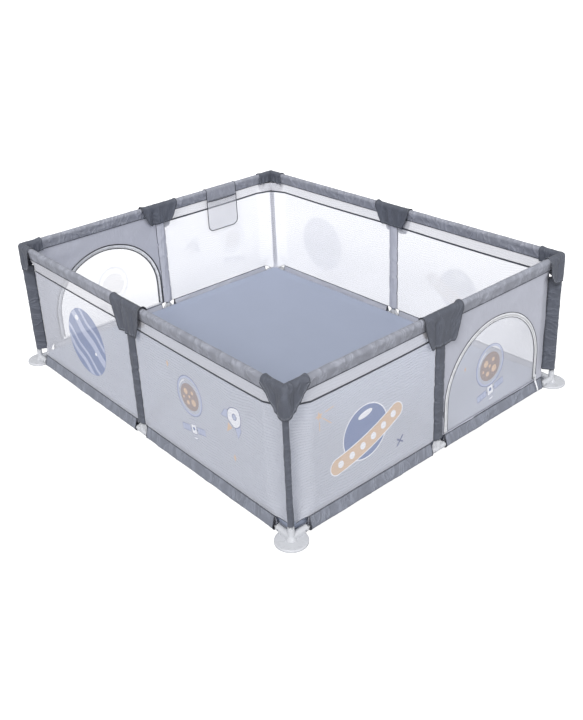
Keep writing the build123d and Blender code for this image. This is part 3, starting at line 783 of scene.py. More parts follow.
def make_hems(sizes):
    section = sleeve_section(HEM_RADIUS, HEM_Z, HEM_TIP_Z)
    for wall, side in panel_sides():
        start, end = side * HEM_GAP, side * (wall.half - HEM_END)
        name = f"hem_cloth_{wall.name}_{wall.ends[side]}"
        seed = wall.seed + 30 + side

        def calm(s):
            at_corner = ease((wall.half - HEM_END - abs(s)) / 0.05)
            return mix(0.5, 1.0, ease((abs(s) - HEM_GAP) / 0.05) * at_corner)

        piece = sleeve_piece(name, wall, start, end, section, finish("Hem cloth"), sizes, seed, calm)
        # painted light: the hem's inner half in the lighter door cloth, its outer half left darker as if in
        # shade
        lighter_inner_half(piece, wall, finish("Door cloth"))
        settle(piece, "root", "grey_canvas", f"bottom_hem_{wall.name}")
        lay_sheet(piece, "stretched", f"bottom_rails_{wall.name}")
        trims = []
        for place, inwards in ((start, side), (end, -side)):
            ring = [wall.at(place, out + 0.0006 * out_normal, z + 0.0006 * z_normal)
                    for out, z, out_normal, z_normal, _ in section]
            trims.append(cord_piece("edge", ring, 0.0015, finish("Binding"), sides=6))
            for inset in (0.012, 0.019):
                sewn = [wall.at(place + inwards * inset, out + 0.0016 * out_normal, z + 0.0016 * z_normal)
                        for out, z, out_normal, z_normal, _ in section]
                trims.append(stitch_row(sewn, finish("Thread"), "stitches", sizes.stitch))
        for out in (0.0022, -0.0022):
            line = [wall.at(s, out, HEM_TIP_Z - 0.001) for s in steps(start, end, 0.02)]
            trims.append(cord_piece("seam", line, 0.0013, finish("Binding"), sides=6))
            line = [wall.at(s, out * 1.9, HEM_TIP_Z - 0.007) for s in steps(start, end, 0.02)]
            trims.append(stitch_row(line, finish("Thread"), "stitches", sizes.stitch))
        settle(join(f"hem_seam_{wall.name}_{wall.ends[side]}", trims), "root", "grey_canvas")


# ---------------------------------------------------------------- post sleeves
def pinch(z):
    """The ring that a post's coupling presses into its sleeve."""
    return 0.0010 * bump(z, POST_JOINT_Z, 0.004) - 0.0008 * bump(z, POST_JOINT_Z + 0.009, 0.004)


def make_corner_sleeves(sizes):
    low, high = CORNER_SLEEVE_Z
    radius, tail = sizes.post_sleeve, (SEAM_INSET - 0.002) * math.sqrt(2)
    spread = math.acos(radius / tail)
    side = [(mix(tail, radius * math.cos(spread), k / 7), mix(0.0010, radius * math.sin(spread), k / 7))
            for k in range(7)]
    arc = [(radius * math.cos(a), radius * math.sin(a))
           for a in steps(spread, 2 * math.pi - spread, math.pi / 12)]
    loop = side + arc + [(x, -y) for x, y in reversed(side)]
    diagonal = math.sqrt(0.5)
    for corner in CORNERS.values():
        rows = []
        for z in steps(low, high, 0.005):
            row = []
            for x, y in loop:
                turn = math.atan2(y, x)
                on_post = ease((0.018 - x) / 0.02)
                wrinkle = 0.0015 * (fold(z * 7 + turn * 0.8, turn * 0.6 - z * 3, corner.seed) - 0.2)
                lift = pinch(z) * on_post + wrinkle
                lift += 0.0006 * soft(z * 40, turn * 1.5, corner.seed)
                x2, y2 = x + lift * math.cos(turn) * on_post, y + lift * math.sin(turn)
                row.append(corner.at((x2 - y2) * diagonal, (x2 + y2) * diagonal, z))
            rows.append(row)
        piece = grid_piece(f"post_sleeve_{corner.name}", rows, finish("Slate cloth"), wrap=True,
                           flip=not corner.mirrored, thickness=sizes.cloth)
        settle(piece, "root", "slate_canvas", "post_sleeves")
        lay_sheet(piece, "stretched", f"corner_post_{corner.name}")
        seams = []
        for aside in (-0.004, 0.004):
            line = [corner.at(SEAM_INSET + aside, SEAM_INSET - aside, z)
                    for z in steps(low + 0.006, SLEEVE_TIP_Z, 0.02)]
            seams.append(cord_piece("seam", line, 0.0018, finish("Binding"), sides=6))
        settle(join(f"corner_seam_{corner.name}", seams), "root", "slate_canvas")


def make_mid_sleeves(sizes):
    low, high = MID_SLEEVE_Z
    for wall in WALLS.values():
        def mid_width(z):
            """Half the sleeve's width, drawn in where it is pinched."""
            pinched = sum(bump(z, at, 0.007) for at in MID_PINCHES)
            return sizes.mid_sleeve + 0.0030 * soft(z * 11, 0.3, wall.seed + 2) - 0.0035 * pinched

        rows = []
        for z in steps(low, high, 0.004):
            row = []
            for turn in [2 * math.pi * k / 40 for k in range(40)]:
                flat = abs(math.cos(turn)) ** 1.5
                lift = 0.0046 * (fold(z * 6 + turn * 0.7, turn * 0.8 - z * 4, wall.seed + 7) - 0.25)
                gathered = 0.0040 * fold(z * 14, turn * 0.5 + z * 5, wall.seed + 9, 3)
                lift += gathered * bump(z, POST_JOINT_Z, 0.05)
                lift += 0.0020 * soft(z * 30, turn * 2, wall.seed) + pinch(z)
                lift *= 1 - 0.7 * flat
                half = mid_width(z)
                row.append(wall.at(half * math.cos(turn), (0.0125 + lift) * math.sin(turn), z))
            rows.append(row)
        piece = grid_piece(f"mid_sleeve_{wall.name}", rows, finish("Slate cloth"), wrap=True,
                           thickness=sizes.cloth)
        lighter_inner_half(piece, wall, finish("Door cloth"))
        settle(piece, "root", "slate_canvas", "post_sleeves")
        lay_sheet(piece, "stretched", "mid_posts")
        edges = []
        for side in (-1, 1):
            line = [wall.at(side * (mid_width(z) + 0.0005), 0.0, z)
                    for z in steps(low + 0.002, SLEEVE_TIP_Z, 0.006)]
            edges.append(cord_piece("edge", line, 0.0022, finish("Binding"), sides=6))
        settle(join(f"mid_seam_{wall.name}", edges), "root", "slate_canvas")


# ---------------------------------------------------------------- covers
def cover_binding_and_shadow(name, hem, inner_hem, lines, sizes):
    """The bound edges of a cover, thick and dark enough to be both its binding and a painted shadow in the
    gap along its edge, and the stitches along them.
    """
    trims = [cord_piece("edge", path, 0.0021, finish("Binding"), sides=6) for path in (hem, inner_hem)]
    trims += [stitch_row(line, finish("Thread"), "stitches", sizes.stitch) for line in lines]
    settle(join(name, trims), "root", "slate_canvas")


def make_corner_covers(sizes):
    arm, low, radius = sizes.corner_arm, sizes.corner_low, sizes.cover_radius
    arc = steps(0, math.pi, math.pi / 14)
    for corner in CORNERS.values():
        bow = 1.35 if corner.name == "front_left" else 4.5

        def hem_z(a):
            return low + (COVER_SIDE_Z - low) * clamp(a / arm) ** bow

        def skirt(a, z, push=0.0):
            """How far out the outer skirt hangs, a metres along an arm and at height z."""
            drop = ease((RAIL_Z - 0.004 - z) / 0.03)
            out = radius + push + 0.0045 * ease((a - arm + 0.03) / 0.03)
            out -= 0.0065 * bump(a, 0.034, 0.011) * drop * ease((z - hem_z(a)) / 0.02)
            ripple = 0.0030 * soft(a * 75 + z * 9, z * 6, corner.seed)
            return out + drop * (ripple + 0.0022 * fold(a * 30, z * 9, corner.seed))

        def place(side, a, turn, out, inner, z):
            """side 0 is the first arm, 1 round the post, 2 the second arm. inner is 0 outside to 1 inside."""
            if side == 1:
                direction = Vector((-math.sin(turn), -math.cos(turn)))
                flat = direction * out if inner == 0 else Vector((radius, radius)) * inner
                return corner.at(flat.x, flat.y, z)
            along = mix(a, radius + (arm - radius) * a / arm, inner)
            first, second = (along, -out) if side == 0 else (-out, along)
            return corner.at(first, second, z)

        stations = [(0, a, 0.0) for a in steps(arm, 0, 0.004)]
        stations += [(1, 0.0, turn) for turn in steps(0, math.pi / 2, math.pi / 24)[1:-1]]
        stations += [(2, a, math.pi / 2) for a in steps(0, arm, 0.004)]
        rows, lines = [], [[], [], []]
        for side, a, turn in stations:
            seed = corner.seed + 10 * (side == 2)
            flare = 0.0030 * ease((a - arm + 0.03) / 0.03)
            row = [place(side, a, turn, skirt(a, z), 0, z)
                   for z in steps(hem_z(a), RAIL_Z, (RAIL_Z - hem_z(a)) / 18)[:-1]]
            for angle in arc:
                crease = 0.0014 * (fold(a * 22 + angle, angle * 0.8, seed) - 0.3) * math.sin(angle)
                size = radius + flare + crease
                inner = max(0.0, -math.cos(angle))
                height = RAIL_Z + size * math.sin(angle)
                row.append(place(side, a, turn, size * math.cos(angle), inner, height))
            for z in steps(RAIL_Z, sizes.corner_inside, 0.005)[1:]:
                pleat = 0.0044 * math.sin(a * 170 + corner.seed) * ease((RAIL_Z - z) / 0.03) * ease(a / 0.02)
                row.append(place(side, a, turn, -radius - flare - pleat, 1, z))
            rows.append(row)
            for line, up in zip(lines, (0.006, 0.0095)):
                z = hem_z(a) + up
                if z < RAIL_Z:
                    line.append(place(side, a, turn, skirt(a, z, 0.0009), 0, z))
            lines[2].append(place(side, a, turn, -radius - flare - 0.0025, 1, sizes.corner_inside + 0.006))
        piece = grid_piece(f"corner_cover_{corner.name}", rows, finish("Slate cloth"), flip=corner.mirrored,
                           thickness=COVER_CLOTH)
        settle(piece, "root", "slate_canvas", "corner_covers")
        lay_sheet(piece, "draped", f"top_elbow_{corner.name}")
        ends = [[row[k] for row in rows] for k in (0, -1)]
        cover_binding_and_shadow(f"corner_cover_trim_{corner.name}", ends[0], ends[1], lines + rows[:1] + rows[-1:], sizes)


def make_mid_covers(sizes):
    radius, half, foot = sizes.cover_radius, sizes.mid_half, sizes.mid_foot
    side_z = COVER_SIDE_Z - 0.001
    arc = steps(0, math.pi, math.pi / 14)
    for wall in WALLS.values():
        def width(z, low):
            """Half the cover's width, narrow at its hem and curving out to the rail."""
            return foot + (half - foot) * clamp((z - low) / (side_z - low)) ** 0.75

        def skirt(s, z, low, face):
            """How far from the wall's plane the skirt hangs. face is 1 outside the pen and -1 inside."""
            drop = ease((RAIL_Z - 0.004 - z) / 0.03)
            out = radius - 0.0070 * bump(s, -0.042 * face, 0.010) * drop
            out -= 0.0045 * bump(s, 0.050, 0.009) * drop
            at_hem = ease((low + 0.06 - z) / 0.05)
            gather = 0.0022 * math.sin(s * 190 + wall.seed) * bump(s, 0.0, 0.05) * at_hem
            return out + drop * (0.0034 * soft(s * 50 + z * 8, z * 6, wall.seed + face) + gather)

        rows, lines = [], [[], [], []]
        for u in steps(-1, 1, 1 / 26):
            flare = (0.0060 if u > 0 else 0.0024) * ease((abs(u) - 0.78) / 0.22)
            row = []
            for z in steps(sizes.mid_low, RAIL_Z, 0.006)[:-1]:
                s = u * width(z, sizes.mid_low)
                row.append(wall.at(s, skirt(s, z, sizes.mid_low, 1) + flare, z))
            for angle in arc:
                crease = 0.0014 * (fold(u * 3 + angle, angle, wall.seed) - 0.3) * math.sin(angle)
                size = radius + flare + crease
                row.append(wall.at(u * half, size * math.cos(angle), RAIL_Z + size * math.sin(angle)))
            for z in steps(RAIL_Z, sizes.mid_inside, 0.006)[1:]:
                s = u * width(z, sizes.mid_inside)
                row.append(wall.at(s, -skirt(s, z, sizes.mid_inside, -1) - flare, z))
            rows.append(row)
            for line, up in zip(lines, (0.006, 0.010)):
                z = sizes.mid_low + up
                s = u * width(z, sizes.mid_low)
                line.append(wall.at(s, skirt(s, z, sizes.mid_low, 1) + 0.0009, z))
            z = sizes.mid_inside + 0.006
            s = u * width(z, sizes.mid_inside)
            lines[2].append(wall.at(s, -skirt(s, z, sizes.mid_inside, -1) - 0.0009, z))
        piece = grid_piece(f"mid_cover_{wall.name}", rows, finish("Slate cloth"), thickness=COVER_CLOTH)
        settle(piece, "root", "slate_canvas", "mid_covers")
        lay_sheet(piece, "draped", f"top_tee_{wall.name}")
        rim = rows[0][::-1] + [row[0] for row in rows] + rows[-1]
        inner = [row[-1] for row in rows]
        cover_binding_and_shadow(f"mid_cover_trim_{wall.name}", rim, inner, lines, sizes)


# ---------------------------------------------------------------- mesh walls
def make_mesh_walls(sizes):
    for wall, side in panel_sides():
        if has_door(wall, side):
            continue
        start, end = panel_span(wall, side)
        half_name = f"{wall.name}_{wall.ends[side]}"
        net, band = [], []
        for s in steps(start, end, 0.012):
            low, line = panel_low(wall, s), band_low(wall, s, sizes)
            net.append(on_wall(wall, [(s, mix(low, line, k / 36)) for k in range(37)]))
            band.append(on_wall(wall, [(s, mix(line, SLEEVE_TIP_Z, k / 5)) for k in range(6)], 0.0006))
        panel = grid_piece(f"wall_net_{half_name}", net, finish("Wall net"), flip=side > 0)
        settle(panel, "root", "wall_mesh", f"mesh_wall_{half_name}")
        lay_sheet(panel, "stretched", f"top_rails_{wall.name}", f"bottom_rails_{wall.name}")
        strip = grid_piece(f"wall_band_{half_name}", band, finish("Band net"), flip=side > 0)
        settle(strip, "root", "wall_mesh")
        lay_sheet(strip, "stretched", f"top_rails_{wall.name}")
        line = [(s, band_low(wall, s, sizes)) for s in steps(start, end, 0.012)]
        tape = cord_piece("binding", on_wall(wall, line), sizes.binding / 2, finish("Binding"), flat=0.28,
                          up=wall.outward)
        sewn = [stitch_row(on_wall(wall, [(s, z + sizes.binding * 0.3) for s, z in line], lift),
                           finish("Dark thread"), "stitches", sizes.stitch) for lift in (0.0014, -0.0014)]
        edge = [(s, panel_low(wall, s)) for s in steps(start, end, 0.012)]
        bound = cord_piece("edge", on_wall(wall, edge), 0.0012, finish("Binding"), sides=6)
        settle(join(f"wall_binding_{half_name}", [tape, bound] + sewn), "root", "grey_canvas")


# ---------------------------------------------------------------- doors and zips
def arch_path(wall, grow, pitch=0.010):
    """(s, z) up the door's left leg, over the arch and down the right leg, grow outside the zip's line."""
    half, rise = DOOR_HALF + grow, DOOR_TOP_Z - DOOR_SPRING_Z + grow
    path = [(DOOR_CENTRE - half, z) for z in steps(DOOR_LOW_Z, DOOR_SPRING_Z, pitch)[:-1]]
    for turn in steps(math.pi, 0, pitch / half):
        wave = 0.0012 * math.sin(turn) * soft(turn * 2.6, 0.5, wall.seed)
        path.append((DOOR_CENTRE + (half + wave) * math.cos(turn),
                     DOOR_SPRING_Z + (rise + wave) * math.sin(turn)))
    return path + [(DOOR_CENTRE + half, z) for z in steps(DOOR_SPRING_Z, DOOR_LOW_Z, pitch)[1:]]


def ribbon(name, wall, near, far, out, material):
    """A flat tape between two paths of (s, z)."""
    rows = [[wall.at(mix(s0, s1, t), out, mix(z0, z1, t)) for t in (0.0, 0.33, 0.67, 1.0)]
            for (s0, z0), (s1, z1) in zip(near, far)]
    return grid_piece(name, rows, material, thickness=TAPE_CLOTH)


def above(path, low):
    """The points of a path of (s, z) that are no lower than low."""
    return [(s, z) for s, z in path if z >= low]


def zip_teeth(wall, grow, out, low=0.0):
    """One side of the zip's coil: a low block for each tooth, and the cord that they are sewn on."""
    path = above(arch_path(wall, grow, 0.0026), low)
    verts, faces = [], []
    for (s0, z0), (s1, z1) in zip(path, path[1:]):
        ahead = Vector((s1 - s0, z1 - z0)).normalized()
        side = Vector((-ahead.y, ahead.x))
        first = len(verts)
        for height in (0.0, 0.0011):
            for along, across in ((-1, -1), (1, -1), (1, 1), (-1, 1)):
                flat = Vector((s0, z0)) + ahead * (along * 0.0007) + side * (across * 0.0014)
                verts.append(wall.at(flat.x, out + height, flat.y))
        top, base = [first + 4 + k for k in range(4)], [first + k for k in range(4)]
        faces += [tuple(top)] + [(base[k], base[(k + 1) % 4], top[(k + 1) % 4], top[k]) for k in range(4)]
    mesh = bpy.data.meshes.new("teeth")
    mesh.from_pydata([tuple(v) for v in verts], [], faces)
    teeth = new_object("teeth", mesh, finish("Zip coil"))
    for face in mesh.polygons:
        face.use_smooth = False
    line = [wall.at(s, out + 0.0003, z) for s, z in above(arch_path(wall, grow), low)]
    return [teeth, cord_piece("coil cord", line, 0.0008, finish("Zip tape"), sides=6)]


def make_door_surrounds(sizes):
    for name in DOOR_WALLS:
        wall = WALLS[name]
        start, end = panel_span(wall, 1)
        bottom = [(s, panel_low(wall, s)) for s in steps(start, end, 0.012)]
        right = [(end, z) for z in steps(bottom[-1][1], SLEEVE_TIP_Z, 0.012)[1:]]
        top = [(s, SLEEVE_TIP_Z) for s in steps(end, start, 0.012)[1:]]
        left = [(start, z) for z in steps(SLEEVE_TIP_Z, bottom[0][1], 0.012)[1:-1]]
        hole = arch_path(wall, DOOR_GAP)

        def place(s, z):
            near = min(math.hypot(s - hs, z - hz) for hs, hz in hole[::4])
            loose = ease((near - 0.012) / 0.06) * ease((SLEEVE_TIP_Z - z) / 0.05)
            ripple = 0.0028 * soft(s * 5 + z * 2, z * 8, wall.seed + 1)
            ripple += 0.0020 * fold(s * 6 - z * 5, z * 4, wall.seed)
            return wall.at(s, wall_out(wall, s, z) + loose * ripple, z)

        mesh = filled_mesh(f"door_cloth_{name}", [bottom + right + top + left, hole], 0.011, place)
        piece = new_object(f"door_cloth_{name}", mesh, finish("Door cloth"))
        settle(piece, "root", "door_canvas", f"door_surround_{name}")
        lay_sheet(piece, "stretched", f"top_rails_{name}", f"bottom_rails_{name}")
        trims = [cord_piece("edge", on_wall(wall, bottom), 0.0012, finish("Binding"), sides=6)]
        for grow, out, thick in ((0.0155, -0.0030, 0.0030), (0.0115, 0.0014, 0.0013)):
            line = [wall.at(s, out, z) for s, z in arch_path(wall, grow)]
            trims.append(cord_piece("binding", line, thick, finish("Edge cord"), sides=6))
        line = [wall.at(s, 0.0014, z) for s, z in arch_path(wall, 0.0125)]
        trims.append(stitch_row(line, finish("Thread"), "stitches", sizes.stitch))
        settle(join(f"door_cloth_trim_{name}", trims), "root", "door_canvas")


def make_door_flaps():
    for name in DOOR_WALLS:
        wall = WALLS[name]
        low = DOOR_LOW_Z + DOOR_GAP
        arch = arch_path(wall, -DOOR_GAP)
        base = [(s, low) for s in steps(arch[-1][0], arch[0][0], 0.01)[1:-1]]
        rim = [(s, max(z, low)) for s, z in arch] + base

        def place(s, z):
            near = min(math.hypot(s - hs, z - hz) for hs, hz in rim[::4])
            return wall.at(s, 0.0022 * ease((near - 0.01) / 0.08) * soft(s * 4, z * 5, wall.seed + 6), z)

        mesh = filled_mesh(f"door_net_{name}", [rim], 0.012, place)
        piece = new_object(f"door_net_{name}", mesh, finish("Door net"))
        settle(piece, f"door_{name}", "door_mesh", f"door_flap_{name}")
        lay_sheet(piece, "stretched", f"hem_cloth_{name}_{wall.ends[1]}")
        foot = [wall.at(s, 0.0, DOOR_LOW_Z + 0.0035) for s, _ in base]
        edge = cord_piece(f"door_edge_{name}", foot, 0.0013, finish("Pocket cloth"), sides=6)
        settle(edge, f"door_{name}", "door_canvas")


def make_zips(sizes):
    wide = sizes.zip_tape
    for name in DOOR_WALLS:
        wall = WALLS[name]
        outer = ribbon(f"zip_ribbon_{name}", wall, arch_path(wall, 0.0008), arch_path(wall, 0.0008 + wide),
                       0.0010, finish("Zip tape"))
        settle(outer, "root", "zip_tape", f"zip_tape_{name}")
        lay_sheet(outer, "stretched", f"door_cloth_{name}")
        settle(join(f"zip_coil_{name}", zip_teeth(wall, 0.0016, 0.0014)), "root", "zip_tape")
        facing = ribbon(f"zip_facing_{name}", wall, arch_path(wall, 0.0008), arch_path(wall, 0.0145), -0.0012,
                        finish("Zip tape"))
        settle(facing, "root", "zip_tape")
        lay_sheet(facing, "stretched", f"door_cloth_{name}")
        inner = ribbon(f"door_zip_ribbon_{name}", wall, arch_path(wall, -0.0008 - wide),
                       arch_path(wall, -0.0008), 0.0010, finish("Zip tape"))
        settle(inner, f"door_{name}", "zip_tape")
        lay_sheet(inner, "stretched", f"door_net_{name}")
        low = DOOR_LOW_Z + ZIP_FOOT
        coil = zip_teeth(wall, -0.0016, 0.0014, low)
        sewn = [wall.at(s, 0.0016, z) for s, z in above(arch_path(wall, -wide - 0.0005), low)]
        coil.append(cord_piece("edge", sewn, 0.0011, finish("Edge cord"), sides=6))
        inside_edge = [wall.at(s, -0.0024, z) for s, z in above(arch_path(wall, -0.0070), low)]
        coil.append(cord_piece("edge", inside_edge, 0.0026, finish("Edge cord"), sides=6))
        settle(join(f"door_zip_coil_{name}", coil), f"door_{name}", "zip_tape")
        hang_zip_tail(wall)


def hang_zip_tail(wall):
    """The loose end of a zip's outer tape, curling away from the wall beside the flap."""
    middle_s, half = DOOR_CENTRE + DOOR_HALF + 0.0078, 0.0055
    curl = [(0.0037, 0.086), (0.0057, 0.070), (0.0107, 0.058), (0.0147, 0.046), (0.0180, 0.034),
            (0.0194, 0.022)]
    rows = []
    for k in range(len(curl) * 4 - 3):
        (out0, z0), (out1, z1) = curl[k // 4], curl[min(k // 4 + 1, len(curl) - 1)]
        out, z = mix(out0, out1, k % 4 / 4), mix(z0, z1, k % 4 / 4)
        sway = 0.006 * (k / 20) ** 2
        rows.append([wall.at(middle_s + sway + across * half, out, z) for across in (-1, -0.33, 0.33, 1)])
    tail = grid_piece(f"zip_tail_{wall.name}", rows, finish("Zip tape"), thickness=TAPE_CLOTH)
    settle(tail, "root", "zip_tape")
    lay_sheet(tail, "hung", f"zip_ribbon_{wall.name}")


# ---------------------------------------------------------------- prints
def turned(points, x, y, turn, size=1.0):
    """Points of a small drawing, scaled, turned and put at x, y."""
    c, s = math.cos(turn) * size, math.sin(turn) * size
    return [(x + u * c - v * s, y + u * s + v * c) for u, v in points]


def ellipse(x, y, wide, high, turn=0.0, count=40):
    """Points round an ellipse, turned by turn radians."""
    angles = [2 * math.pi * k / count for k in range(count)]
    return turned([(wide * math.cos(a), high * math.sin(a)) for a in angles], x, y, turn)


def bar(x0, y0, x1, y1, half):
    """A straight stroke with pointed ends."""
    ahead = Vector((x1 - x0, y1 - y0)).normalized()
    side = Vector((-ahead.y, ahead.x)) * half
    tip = ahead * half
    return [(x0 - tip.x, y0 - tip.y), (x0 - side.x, y0 - side.y), (x1 - side.x, y1 - side.y),
            (x1 + tip.x, y1 + tip.y), (x1 + side.x, y1 + side.y), (x0 + side.x, y0 + side.y)]


def outline(points, half):
    """Two loops that make a line of the given half width round a closed shape."""
    loops = [[], []]
    for before, point, after in zip(points[-1:] + points[:-1], points, points[1:] + points[:1]):
        ahead = (Vector(after) - Vector(before)).normalized()
        side = Vector((ahead.y, -ahead.x)) * half
        loops[0].append((point[0] + side.x, point[1] + side.y))
        loops[1].append((point[0] - side.x, point[1] - side.y))
    return loops


def disc_band(x, y, radius, low, high, turn):
    """A wavy band across a disc, from low to high as shares of its radius."""
    def line(level, way):
        reach = math.sqrt(max(0.0, 1 - level * level))
        points = []
        for t in steps(-reach * way, reach * way, 0.12):
            wave = 0.05 * math.sin(5 * t) * (1 - (t / reach) ** 2)
            points.append((t, level + wave))
        return points

    def rim(start, end, way):
        turns = steps(math.asin(start), math.asin(end), 0.15)[1:-1]
        return [(way * math.cos(a), math.sin(a)) for a in turns]

    shape = line(low, 1) + rim(low, high, 1) + line(high, -1) + rim(high, low, -1)
    return turned(shape, x, y, turn, radius)


def banded_planet(x, y, radius):
    """A disc with lighter wavy bands and two small spots."""
    parts = [("Blue ink", [ellipse(x, y, radius, radius, count=64)])]
    parts += [("Light blue ink", [disc_band(x, y, radius * 0.985, low, high, -0.65)])
              for low, high in ((0.58, 0.70), (0.10, 0.36), (-0.42, -0.30), (-0.80, -0.62))]
    parts += [("White ink", [ellipse(x + radius * u, y + radius * v, radius * r, radius * r * 0.8, 0.4, 20)])
              for u, v, r in ((-0.42, 0.62, 0.10), (0.45, -0.22, 0.06))]
    return parts


def ringed_planet(x, y, size=1.0, turn=0.33):
    """A planet with a broad tilted ring of pale dots in front of it."""
    body = turned(ellipse(0.002, 0.008, 0.115, 0.117, count=56), x, y, turn, size)
    shine = turned(ellipse(0.026, 0.084, 0.038, 0.014, -0.15, 24), x, y, turn, size)

    def rim(half):
        """The outline of a band that is half metres to each side of a shallow curve, with round ends."""
        reach, dip = 0.166, 0.016
        curve = [(t, -0.026 - dip * (1 - (t / reach) ** 2)) for t in steps(-reach, reach, 0.02)]
        below = [(u, v - half) for u, v in curve]
        ends = [[(way * (reach + half * math.cos(a)), curve[0][1] + way * half * math.sin(a))
                 for a in steps(-math.pi / 2, math.pi / 2, 0.3)[1:-1]] for way in (1, -1)]
        over = [(u, v + half) for u, v in reversed(curve)]
        return turned(below + ends[0] + over + ends[1], x, y, turn, size)

    parts = [("White ink", [turned(ellipse(0.002, 0.008, 0.120, 0.122, count=56), x, y, turn, size)]),
             ("Blue ink", [body]), ("White ink", [shine]),
             ("White ink", [rim(0.040)]), ("Peach ink", [rim(0.0355)])]
    for k in range(6):
        along = -0.150 + 0.060 * k
        dot = turned(ellipse(along, -0.026 - 0.016 * (1 - (along / 0.166) ** 2), 0.0145, 0.0165, 0, 18),
                     x, y, turn, size)
        parts.append(("White ink", [dot]))
    return parts


def moon(x, y, radius):
    """A cratered moon inside a pale halo."""
    halo = ellipse(x, y, radius, radius * 1.06, count=56)
    disc = ellipse(x, y - radius * 0.06, radius * 0.72, radius * 0.72, count=48)
    parts = [("Light blue ink", [halo, ellipse(x, y, radius * 0.88, radius * 0.94, count=56)]),
             ("Line ink", outline(halo, 0.0012)), ("Brown ink", [disc])]
    for u, v, r in ((-0.30, 0.22, 0.16), (0.22, 0.30, 0.10), (0.30, -0.20, 0.18), (-0.16, -0.34, 0.12),
                    (-0.02, 0.02, 0.08), (-0.48, -0.14, 0.07)):
        crater = ellipse(x + radius * u, y + radius * (v - 0.06), radius * r, radius * r, 0, 20)
        parts.append(("Peach ink", [crater]))
    shine = [(0.80 * math.cos(a), 0.80 * math.sin(a)) for a in steps(2.0, 2.9, 0.1)]
    shine += [(0.84 * math.cos(a), 0.86 * math.sin(a)) for a in steps(2.9, 2.0, 0.1)]
    return parts + [("White ink", [turned(shine, x, y, 0, radius)])]


def satellite(x, y, size):
    """A small box with two panels and a dish."""
    box = turned([(-0.20, -0.24), (0.20, -0.24), (0.20, 0.24), (-0.20, 0.24)], x, y, 0.2, size)
    parts = [("White ink", [box]), ("Line ink", outline(box, 0.0014))]
    for way in (-1, 1):
        corners = [(way * 0.30, -0.16), (way * 0.92, -0.16), (way * 0.92, 0.16), (way * 0.30, 0.16)]
        panel = turned(corners[::way], x, y, 0.2, size)
        parts += [("Light blue ink", [panel]), ("Line ink", outline(panel, 0.0012))]
        parts += [("Line ink", [turned(bar(way * u, -0.16, way * u, 0.16, 0.010), x, y, 0.2, size)])
                  for u in (0.51, 0.71)]
        parts.append(("Line ink", [turned(bar(way * 0.20, 0.0, way * 0.30, 0.0, 0.02), x, y, 0.2, size)]))
    bowl = [(0.20 * math.cos(a), -0.40 + 0.14 * math.sin(a)) for a in steps(math.pi, 2 * math.pi, 0.3)]
    dish = turned(bowl, x, y, 0.2, size)
    parts += [("White ink", [dish]), ("Line ink", outline(dish, 0.0012))]
    parts.append(("Blue ink", [turned(ellipse(0, 0.02, 0.09, 0.09, 0, 18), x, y, 0.2, size)]))
    return parts


def rocket(x, y, size, turn):
    """A stubby rocket with a round window, two fins and a flame."""
    hull = [(way * 0.27 * math.sin(math.pi * t) ** 0.7, mix(-0.28, 0.42, t))
            for way, start, end in ((1, 0.12, 0.98), (-1, 0.98, 0.12)) for t in steps(start, end, 0.07)]
    hull_here = turned(hull, x, y, turn, size)
    parts = []
    for way in (-1, 1):
        fin = [(way * 0.17, -0.16), (way * 0.40, -0.34), (way * 0.38, -0.04), (way * 0.26, 0.06)][::way]
        parts += [("Light blue ink", [turned(fin, x, y, turn, size)]),
                  ("Line ink", outline(turned(fin, x, y, turn, size), 0.0011))]
    flame = [(-0.10, -0.26), (0.0, -0.58), (0.10, -0.26)]
    parts += [("Peach ink", [turned(flame, x, y, turn, size)]), ("White ink", [hull_here]),
              ("Line ink", outline(hull_here, 0.0015))]
    window = turned(ellipse(0, 0.10, 0.085, 0.085, 0, 20), x, y, turn, size)
    return parts + [("Light blue ink", [window]), ("Line ink", outline(window, 0.0013))]


def diamond(x, y, size):
    """A tall diamond, for a far star."""
    return [("Peach ink", [[(x - size * 0.5, y), (x, y - size), (x + size * 0.5, y), (x, y + size)]])]


def cross_mark(x, y, size):
    """Two crossed strokes."""
    return [("Line ink", [bar(x - size, y - size * way, x + size, y + size * way, 0.0035)])
            for way in (-0.7, 1.2)]


def comet(x, y):
    """A small burst with three rays."""
    right = [(0.006, 0.005), (0.019, 0.003), (0.008, -0.006), (0.010, -0.018)]
    star = [(0, 0.020)] + right + [(0, -0.010)] + [(-u, v) for u, v in reversed(right)]
    parts = [("Peach ink", [turned(star[::-1], x, y, 0.2)])]
    for turn, start, end in ((0.15, 0.030, 0.072), (-0.75, 0.026, 0.080), (-1.55, 0.026, 0.062)):
        c, s = math.cos(turn), math.sin(turn)
        parts.append(("Peach ink", [bar(x + start * c, y + start * s, x + end * c, y + end * s, 0.0022)]))
    return parts


def print_motif(name, wall, parts, body="root", slot="wall_mesh"):
    """Prints a drawing on the outside of a wall's cloth, as one layer of ink.

    parts are (ink, loops), and each one covers those before it."""
    inks = sorted({ink for ink, _ in parts})

    def ink_at(s, z):
        for ink, loops in reversed(parts):
            if inside(s, z, loops):
                return inks.index(ink)
        return None

    def place(s, z):
        return wall.at(s, (wall_out(wall, s, z) if body == "root" else 0.0) + 0.0007, z)

    mesh = cut_mesh(name, [loop for _, loops in parts for loop in loops], 0.014, place, ink_at)
    settle(new_object(name, mesh, *[finish(ink) for ink in inks]), body, slot)


